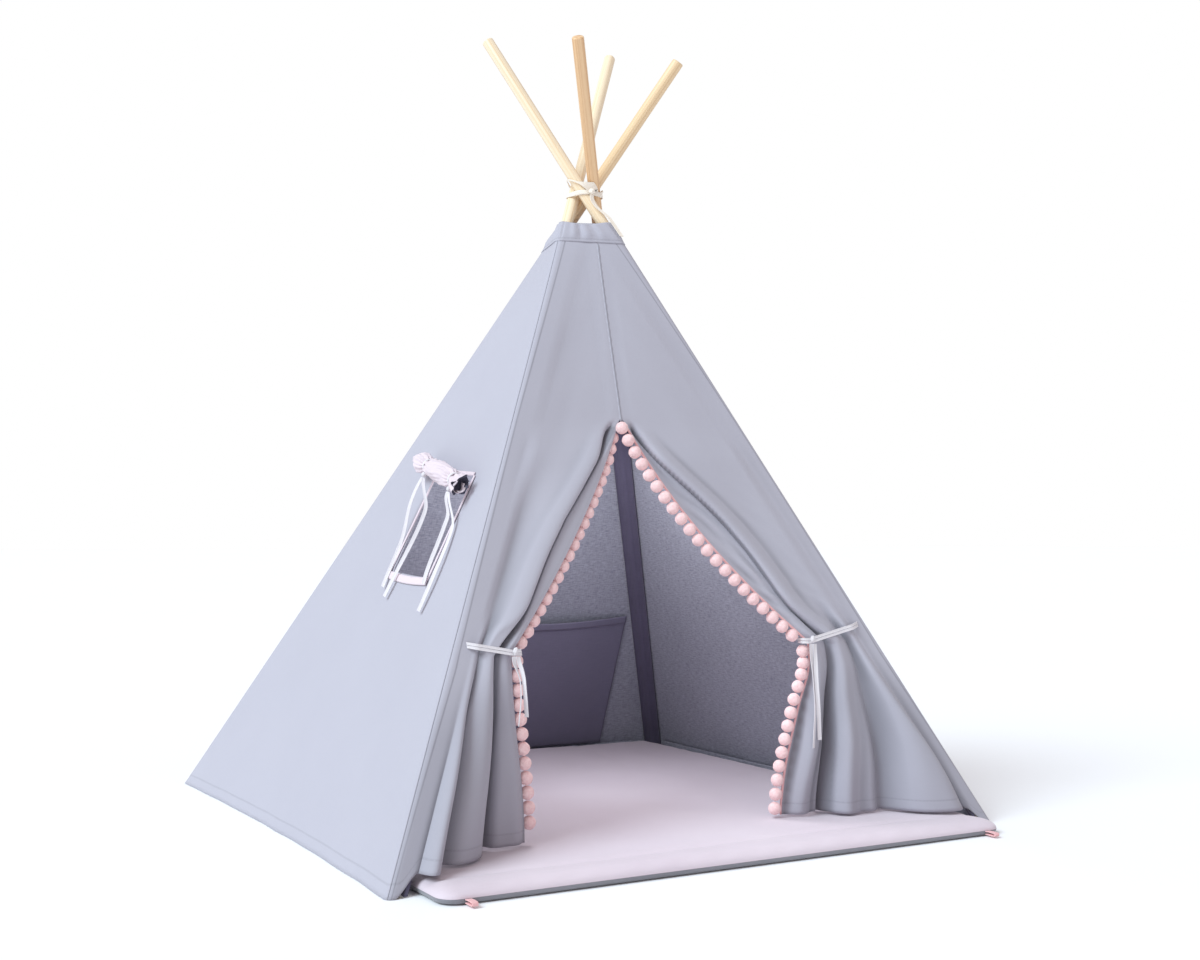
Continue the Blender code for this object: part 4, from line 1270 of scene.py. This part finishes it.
# Ribbons go back pair first: lengths, sideways bows, how soon each settles on the wall, and their twists
roll = dict(
    length=0.285, height=0.651, aside=0.0625, tilt=11.8, end=0.021, neck=0.011, body=0.020, mouth=0.019,
    ease=0.0016, necks=(0.225, 0.845), strap=0.009, strapThick=0.0012, knot=0.011, lower=0.0095,
    forward=0.004, sides=72, steps=90, keep=0.35, ribbonWidth=0.008, ribbonThick=0.0010, ribbonCup=0.0007,
    ribbonPoints=18, ribbons=(0.231, 0.250, 0.182, 0.234), spread=2.4, drifts=(0.027, 0.047),
    bows=(-0.020, 0.030, -0.012, 0.030), settles=(1.6, 3.4, 3.4, 3.0), twists=(0.75, 0.9, 0.8, 0.6),
    ribbonWave=0.0030, ribbonHeave=0.0016, ribbonLift=0.0022, ribbonStep=0.0012,
    mouthRings=((0.84, 0.010), (0.66, 0.035), (0.45, 0.060), (0.2, 0.075)), edgeGrid=(6, 50),
    edgeThick=0.0014, edges=((0.86, 0.62), (0.66, 0.40)), strapGrid=(5, 48), strapLift=0.0012,
    strapCrown=0.0005, rimDroop=0.004,
)
bindingOut = cover["thick"] + 3 * seat
rollOut = bindingOut + window["bindingThick"] + roll["end"] + roll["ease"]
rollOrigin, levelAcross, levelClimb, rollFace = wallFrame(3, roll["aside"], roll["height"])
rollTilt = radians(roll["tilt"])
rollAcross = levelAcross * cos(rollTilt) - levelClimb * sin(rollTilt)
rollClimb = levelClimb * cos(rollTilt) + levelAcross * sin(rollTilt)
rollMiddle = rollOrigin + rollFace * rollOut - rollClimb * roll["lower"] + rollAcross * roll["forward"]


def rollSpot(along, turn, radius, drop=0.0):
    around = rollClimb * (radius * cos(turn) - drop) + rollFace * (radius * sin(turn))
    return rollMiddle + rollAcross * along + around


def settleOnRoll(piece, slot, *nodes):
    settle(piece, "pole_bl", slot, nodes, wall=3, keep=roll["keep"])


def rollRadius(share):
    neckA, neckB = roll["necks"]
    end = roll["end"]
    body = roll["body"]
    neck = roll["neck"]
    stops = (
        (0.0, end * 0.50),
        (neckA * 0.10, end * 0.86),
        (neckA * 0.40, end),
        (neckA * 0.72, end * 0.84),
        (neckA * 0.95, neck),
        (neckA * 1.05, neck),
        (neckA + 0.07, body * 0.84),
        (neckA + 0.20, body),
        (neckB - 0.20, body),
        (neckB - 0.07, body * 0.84),
        (neckB - 0.015, neck),
        (neckB + 0.015, neck),
        (neckB + 0.07, roll["mouth"] * 0.86),
        (1.0, roll["mouth"] * 1.05),
    )
    for (x0, r0), (x1, r1) in zip(stops, stops[1:]):
        if share <= x1:
            return r0 + (r1 - r0) * smooth((share - x0) / (x1 - x0))
    return stops[-1][1]


def makeRoll():
    bm = bmesh.new()
    bmesh.ops.create_cone(
        bm,
        cap_ends=True,
        segments=roll["sides"],
        radius1=1,
        radius2=1,
        depth=1,
        matrix=Matrix.Translation((0, 0, 0.5)),
    )
    for k in range(1, roll["steps"]):
        cutAcross(bm, (0, 0, k / roll["steps"]), (0, 0, 1))
    mouth = max(bm.faces, key=lambda f: f.calc_center_median().z)
    for scale, depth in roll["mouthRings"]:
        grown = bmesh.ops.inset_individual(bm, faces=[mouth], thickness=0.0001)
        for v in mouth.verts:
            v.co = raised(Vector((v.co.x, v.co.y)).normalized() * scale, 1 - depth)
        # the mouth's rings take flapShade, painted shade inside the open end
        for face in grown["faces"] + [mouth]:
            face.material_index = 1
    neckA, neckB = roll["necks"]
    for v in bm.verts:
        turn = atan2(v.co.y, v.co.x)
        share = v.co.z
        size = sqrt(v.co.x**2 + v.co.y**2)
        nearNeck = bell((share - neckA) / 0.11) + bell((share - neckB) / 0.10)
        gathers = 0.15 * nearNeck * sin(11 * turn + 2.2 * sin(3 * turn)) + 0.05 * sin(5 * turn + 9 * share)
        gathers += 0.035 * sin(17 * turn + 3 * sin(share * 11)) * (1 - nearNeck * 0.5)
        puff = 0.12 * ripple(cos(turn) * 1.6, sin(turn) * 1.6, share * 9)
        rim = smooth((share - neckB - 0.02) / 0.10)
        flatten = 1 - 0.34 * rim * abs(sin(turn)) ** 1.5 + 0.10 * rim * sin(5 * turn + 0.7)
        ragged = 0.008 * rim * sin(3 * turn + 0.6) + 0.004 * rim * sin(7 * turn)
        radius = rollRadius(min(1, share)) * size * (1 + gathers * (1 - 0.6 * rim) + puff) * flatten
        along = roll["length"] * (share - 0.5) + ragged * smooth((size - 0.5) / 0.4)
        v.co = rollSpot(along, turn, radius, roll["rimDroop"] * rim * (1 + sin(turn)))

    def chart(v):
        spot = v.co - rollMiddle
        return (spot.dot(rollAcross), atan2(spot.dot(rollFace), spot.dot(rollClimb)) * roll["body"])

    chartFaces(bm, chart)
    bmesh.ops.recalc_face_normals(bm, faces=bm.faces[:])
    settleOnRoll(hold("window_roll_flap", bm, liningCloth, flapShade), "lining_pink", "window_roll")


def makeFlapEdge(index, grow, turns):  # a loose edge of the rolled flap, which shows in its open end
    def place(across, up):
        turn = 2 * pi * turns * up + 1.1 + index * 2
        wavy = 1 + 0.10 * sin(3 * turn + 2 * index)
        radius = roll["mouth"] * grow * (1 - 0.22 * up) * (1 - 0.34 * abs(sin(turn)) ** 1.5) * wavy
        along = roll["length"] * 0.5 - 0.030 + 0.031 * across + 0.004 * sin(turn * 2 + index)
        return rollSpot(along, turn, radius, roll["rimDroop"])

    def chart(across, up):
        return (0.03 * across, 0.1 * turns * up)

    name = "window_roll_edge_" + "ab"[index]
    thick = roll["edgeThick"]
    edge = clothGrid(name, *roll["edgeGrid"], place, chart, [liningCloth], thick, side=0)
    settleOnRoll(edge, "lining_pink")


def makeStrap(index, label, middle):  # round one neck of the roll, with its knot and two ribbons
    radius = roll["neck"] + 2 * seat

    def place(across, up):
        swell = roll["strapLift"] + roll["strapCrown"] * sin(pi * across)
        return rollSpot(middle + roll["strap"] * (across - 0.5), -2 * pi * up, radius + swell)

    def chart(across, up):
        return (roll["strap"] * across, 2 * pi * radius * up)

    name = "window_strap_" + label
    thick = roll["strapThick"]
    grid = roll["strapGrid"]
    band = clothGrid(name + "_tape", *grid, place, chart, [tapeWhite], thick, side=0, closed=True)
    settleOnRoll(band, "tape_white", name)
    downOut = (rollFace * 0.08 - rollClimb).normalized()
    knot = rollMiddle + rollAcross * middle + downOut * (radius + thick + roll["knot"] / 2 + seat)
    name = "window_knot_" + label
    settleOnRoll(knotBall(name, knot, downOut, (roll["knot"],) * 3, tapeWhite), "tape_white", name)
    start = knot - Vector((0, 0, roll["knot"] / 2 + seat))
    at = roll["aside"] + middle
    hang = (start - onWall(3, at, start.z, 0)).dot(rollFace)
    rest = bindingOut + window["bindingThick"] + 2 * seat
    for which in (0, 1):
        ribbon = 2 * index + which
        sideStep = (which - 0.5) * (roll["ribbonWidth"] + 2 * seat)
        points = []
        for k in range(roll["ribbonPoints"]):
            s = k / (roll["ribbonPoints"] - 1)
            begun = smooth(s * 3)
            sideways = at + sideStep * (1 + roll["spread"] * smooth(s)) + roll["drifts"][index] * s
            sideways += roll["ribbonWave"] * sin(5.0 * s + which * 2.0 + index) * begun
            sideways += roll["bows"][ribbon] * sin(pi * s**0.8)
            lift = roll["ribbonHeave"] * (1 + sin(7 * s + 2 * which + index)) * begun
            lift += roll["ribbonLift"] + roll["ribbonStep"] * which
            fall = smooth(s * roll["settles"][ribbon])
            z = start.z - roll["ribbons"][ribbon] * cos(leans[3]) * s
            points.append(onWall(3, sideways, z, rest + lift + (hang - rest) * (1 - fall)))

        def across(share, twist=roll["twists"][ribbon]):
            angle = -twist * (0.75 + 0.25 * sin(4 * share + twist * 7))
            return rollAcross * cos(angle) + rollFace * sin(angle)

        hangTape(
            "window_ribbon_" + label + "_" + "ab"[which],
            points,
            roll["ribbonWidth"],
            roll["ribbonThick"],
            across,
            tapeWhite,
            roll["ribbonCup"],
            "pole_bl",
            "tape_white",
            wall=3,
            keep=roll["keep"],
        )


makeRoll()
for index, edge in enumerate(roll["edges"]):
    makeFlapEdge(index, *edge)
for index, label in enumerate(("back", "front")):
    makeStrap(index, label, roll["length"] * (roll["necks"][index] - 0.5))
print("window flap rolled")


# Pocket inside the back wall
pocket = dict(
    highInset=0.199, lowInset=0.165, highWidth=0.436, lowWidth=0.470, low=0.024, high=0.345, dip=0.012,
    swell=0.014, crease=0.0016, lift=0.0036, thick=0.0012, hem=0.016, grid=(80, 60), hemGrid=(80, 5),
)


def pocketSpot(share, climb, lift):
    inset = pocket["lowInset"] + (pocket["highInset"] - pocket["lowInset"]) * climb
    width = pocket["lowWidth"] + (pocket["highWidth"] - pocket["lowWidth"]) * climb
    x = stand["baseHalfWidth"] - inset - width * share
    z = pocket["low"] + (pocket["high"] - pocket["dip"] * sin(pi * share) - pocket["low"]) * climb
    swell = pocket["swell"] * sin(pi * share) * smooth(climb * 1.4)
    crease = pocket["crease"] * ripple(x * 9, z * 7, 2.5) * smooth(min(share, 1 - share) * 8)
    return onWall(2, -x, z, -(2 * seat + pocket["lift"] + swell + crease + lift))


def makePocket():
    deep = pocket["high"] - pocket["low"]
    tall = deep / cos(leans[2])
    thick = pocket["thick"]
    mouth = pocket["hem"] / deep

    def place(across, up):
        return pocketSpot(across, up, 0)

    def chart(across, up):
        return (pocket["lowWidth"] * across, tall * up)

    def hemPlace(across, up):
        return pocketSpot(across, 1 - mouth + mouth * up, thick + 2 * seat)

    def hemChart(across, up):
        return (pocket["highWidth"] * across, pocket["hem"] * up)

    patch = clothGrid("pocket_patch", *pocket["grid"], place, chart, [pocketCloth], thick, side=-1)
    settle(patch, "pole_bl", "pocket_grey", ["pocket"], wall=2)
    grid = pocket["hemGrid"]
    hem = clothGrid("pocket_hem_fold", *grid, hemPlace, hemChart, [pocketCloth], thick, side=-1)
    settle(hem, "pole_bl", "pocket_grey", ["pocket_hem"], wall=2)


makePocket()
print("pocket sewn")


# Mat: a padded pink top over a grey underside, with a small loop at each front corner
mat = dict(
    halfWidth=0.545, front=0.680, back=0.555, corner=0.030, seam=0.010, height=0.028, ease=0.034, cells=150,
    underCells=60, underSteps=((0.0, 0.0085), (0.0008, 0.0055), (0.0030, 0.0022), (0.0072, 0.0)),
    loopTape=0.010, loopLength=0.024, loopThick=0.0014, loopGap=0.0034, dimple=0.0016, dent=0.0007,
    sunk=0.0018, pucker=0.0012, frontCrease=0.0026, frontCreaseIn=0.075, sideCrease=0.0013,
)
matMiddle = (mat["back"] - mat["front"]) / 2


def matPlan(a, b):  # from the square -1 to 1 to the rounded outline, finer beside its edges
    def eased(s):
        return (1 - (1 - abs(s)) ** 1.7) * (1 if s > 0 else -1)

    halfY = (mat["back"] + mat["front"]) / 2
    x = eased(a) * mat["halfWidth"]
    y = eased(b) * halfY
    cornerX = abs(x) - (mat["halfWidth"] - mat["corner"])
    cornerY = abs(y) - (halfY - mat["corner"])
    edge = min(mat["halfWidth"] - abs(x), halfY - abs(y))
    if cornerX > 0 and cornerY > 0:
        most = max(cornerX, cornerY)
        shrink = most / sqrt(cornerX**2 + cornerY**2) - 1
        x += (1 if x > 0 else -1) * cornerX * shrink
        y += (1 if y > 0 else -1) * cornerY * shrink
        edge = mat["corner"] - most
    return x, y + matMiddle, edge


def matRise(x, y, edge):
    rounded = sqrt(max(0, 1 - (1 - min(1, edge / mat["ease"])) ** 2))
    dimple = mat["dimple"] * ripple(x * 5, y * 5, 1.7) + mat["dent"] * ripple(x * 17, y * 17, 4)
    frontAt = y + mat["front"] - mat["frontCreaseIn"] - 0.006 * sin(6 * x)
    frontCrease = -mat["frontCrease"] * bell(frontAt / 0.010)
    sideAt = x - 0.33 - 0.16 * (y - 0.5)
    sideCrease = -mat["sideCrease"] * bell(sideAt / 0.008) * smooth((y - 0.15) / 0.2)
    puckers = -mat["pucker"] * (0.5 + 0.5 * sin((x - y) * 95)) * bell((edge - 0.012) / 0.012)
    settled = min(0, frontCrease + sideCrease) + dimple - mat["sunk"] + puckers
    return mat["seam"] + (mat["height"] - mat["seam"] + settled) * rounded


def matGrid(cells, rise):
    bm = bmesh.new()
    bmesh.ops.create_grid(bm, x_segments=cells, y_segments=cells, size=1.0)
    for v in bm.verts:
        x, y, edge = matPlan(v.co.x, v.co.y)
        v.co = (x, y, rise(x, y, edge))
    return bm, [e for e in bm.edges if e.is_boundary]


def finishPad(name, bm, rim, paint, slot, node):
    closeOutwards(bm, rim)
    made = hold(name, bm, paint)
    made.data.set_sharp_from_angle(angle=radians(60))
    settle(made, "mat", slot, [node])


def makeMat():
    bm, rim = matGrid(mat["cells"], matRise)
    finishPad("mat_pad", bm, rim, matPink, "mat_pink", "mat_top")
    bm, rim = matGrid(mat["underCells"], lambda x, y, edge: mat["seam"] - seat)
    for inset, z in mat["underSteps"]:
        grown = bmesh.ops.extrude_edge_only(bm, edges=rim)
        rim = [e for e in grown["geom"] if isinstance(e, bmesh.types.BMEdge) and e.is_boundary]
        shrink = 1 - inset / 0.6
        for v in {v for e in rim for v in e.verts}:
            v.co = (v.co.x * shrink, (v.co.y - matMiddle) * shrink + matMiddle, z)
    finishPad("mat_base", bm, rim, matGrey, "mat_grey", "mat_underside")


def makeMatLoop(side, word):
    x = side * (mat["halfWidth"] - mat["corner"] - mat["loopTape"])
    low = mat["seam"] / 3 + mat["loopThick"] / 2
    high = low + mat["loopThick"] + mat["loopGap"]
    near = -(mat["front"] + 0.0004)
    far = near - mat["loopLength"] + 0.002
    spots = [(near, high), ((near + far) / 2, high + 0.0006)]
    for k in range(5):
        turn = pi / 2 - pi * k / 4
        spots.append((far - cos(turn) * 0.002, (low + high) / 2 + sin(turn) * (high - low) / 2))
    spots += [((near + far) / 2, low), (near, low)]
    route = smoothRoute([Vector((x, *spot)) for spot in spots], 5)
    name = "mat_loop_" + word
    sideways = Vector((1, 0, 0))
    made = tape(name + "_tape", route, mat["loopTape"], mat["loopThick"], lambda share: sideways, braidPink)
    settle(made, "mat", "mat_pink", [name])


makeMat()
makeMatLoop(-1, "left")
makeMatLoop(1, "right")
print("mat padded")


# Lashing round the crossing, its knot and tail
lash = dict(
    width=0.009, thick=0.0012, ease=0.0006, drop=0.004, rise=0.035, skew=0.6, settled=0.75, turns=2,
    steps=72, bearing=radians(-84.0), knot=0.012, tailDrop=0.025, tailTurn=radians(17.0), tailPoints=14,
    tailCup=0.0006, quick=1.7,
)


def bundleSpot(bearing, z, out):
    n = Vector((cos(bearing), sin(bearing)))
    return raised(max((pole.rim(z, n, out) for pole in poles), key=lambda p: p.dot(n)), z)


def lashSpot(turned, edge):
    folded = 1 - 0.70 * smooth((turned - 1) * 6)
    z = stand["crossingHeight"] - lash["drop"] + edge * folded * lash["width"] / 2
    if turned > 1:
        z += lash["rise"] * lash["settled"] * sin(pi * (turned - 1) ** lash["skew"])
    out = skin + (lash["thick"] + lash["ease"]) * turned
    return bundleSpot(lash["bearing"] - 2 * pi * turned, z, out)


def makeLashing():
    turns = lash["turns"]
    thick = lash["thick"]

    def place(across, up):
        spot = lashSpot(across * turns, 2 * up - 1)
        away = Vector((spot.x, spot.y + stand["crossingForward"], 0)).normalized()
        return spot + away * (0.0004 * sin(pi * up))

    def chart(across, up):
        return (lash["width"] * up, 0.2 * turns * across)

    made = clothGrid("lashing_tape", turns * lash["steps"], 4, place, chart, [tapeCream], thick, side=-1)
    settle(made, "cover", "cord_cream", ["lashing"])
    bearing = lash["bearing"]
    faceWay = Vector((cos(bearing), sin(bearing), 0))
    wide = Vector((-sin(bearing), cos(bearing), 0))
    knot = (lashSpot(turns, -1) + lashSpot(turns, 1)) / 2 + faceWay * (thick + lash["knot"] / 2 + seat)
    ball = knotBall("lashing_knot", knot, faceWay, (lash["knot"],) * 3, tapeCream)
    settle(ball, "cover", "cord_cream", ["lashing_knot"])
    bandOut = skin + cover["thick"] * 1.6 + cover["bandThick"] * 1.3 + cover["pleatDepth"] + thick
    start = knot.z - lash["knot"] / 2 - seat
    finish = peak - lash["tailDrop"]
    points = []
    for k in range(lash["tailPoints"]):
        share = k / (lash["tailPoints"] - 1)
        z = start + (finish - start) * share
        hung = bundleSpot(bearing + lash["tailTurn"] * share, z, bandOut + 3 * seat)
        points.append(raised(knot, z).lerp(hung, smooth(share * lash["quick"])))
    hangTape(
        "lashing_tail",
        points,
        lash["width"],
        thick,
        lambda share: wide,
        tapeCream,
        lash["tailCup"],
        "cover",
        "cord_cream",
    )


makeLashing()
print("lashing tied")


# Studio: the sky lights the object, and the camera sees a white backdrop instead of it
def makeStudio():
    world = bpy.data.worlds.new("studioSky")
    bpy.context.scene.world = world
    world.use_nodes = True
    nodes = world.node_tree.nodes
    link = world.node_tree.links.new
    sky = nodes["Background"]
    sky.inputs["Color"].default_value = studio["skyTint"]
    sky.inputs["Strength"].default_value = studio["skyStrength"]
    backdrop = nodes.new("ShaderNodeBackground")
    backdrop.inputs["Color"].default_value = studio["backdropTint"]
    either = nodes.new("ShaderNodeMixShader")
    link(nodes.new("ShaderNodeLightPath").outputs["Is Camera Ray"], either.inputs[0])
    link(sky.outputs[0], either.inputs[1])
    link(backdrop.outputs[0], either.inputs[2])
    link(either.outputs[0], nodes["World Output"].inputs["Surface"])
    keyFrom = Vector(studio["keyFrom"])
    key = lamp("keyLight", "SUN", keyFrom * 5, -keyFrom, studio["keyStrength"], studio["keyTint"])
    key.data.angle = radians(studio["keySpread"])
    glowWay = Vector(studio["glowAim"]) - Vector(studio["glowAt"])
    glow = lamp("clothGlow", "AREA", studio["glowAt"], glowWay, studio["glowPower"], studio["glowTint"])
    glow.data.shape = "DISK"
    glow.data.size = studio["glowSize"]
    glow.visible_camera = False
    bm = bmesh.new()
    bmesh.ops.create_grid(bm, x_segments=1, y_segments=1, size=studio["floorHalf"])
    hold("studioFloor", bm, floorFinish())
    bpy.context.scene.view_settings.view_transform = "Standard"


makeStudio()
print("studio lit")
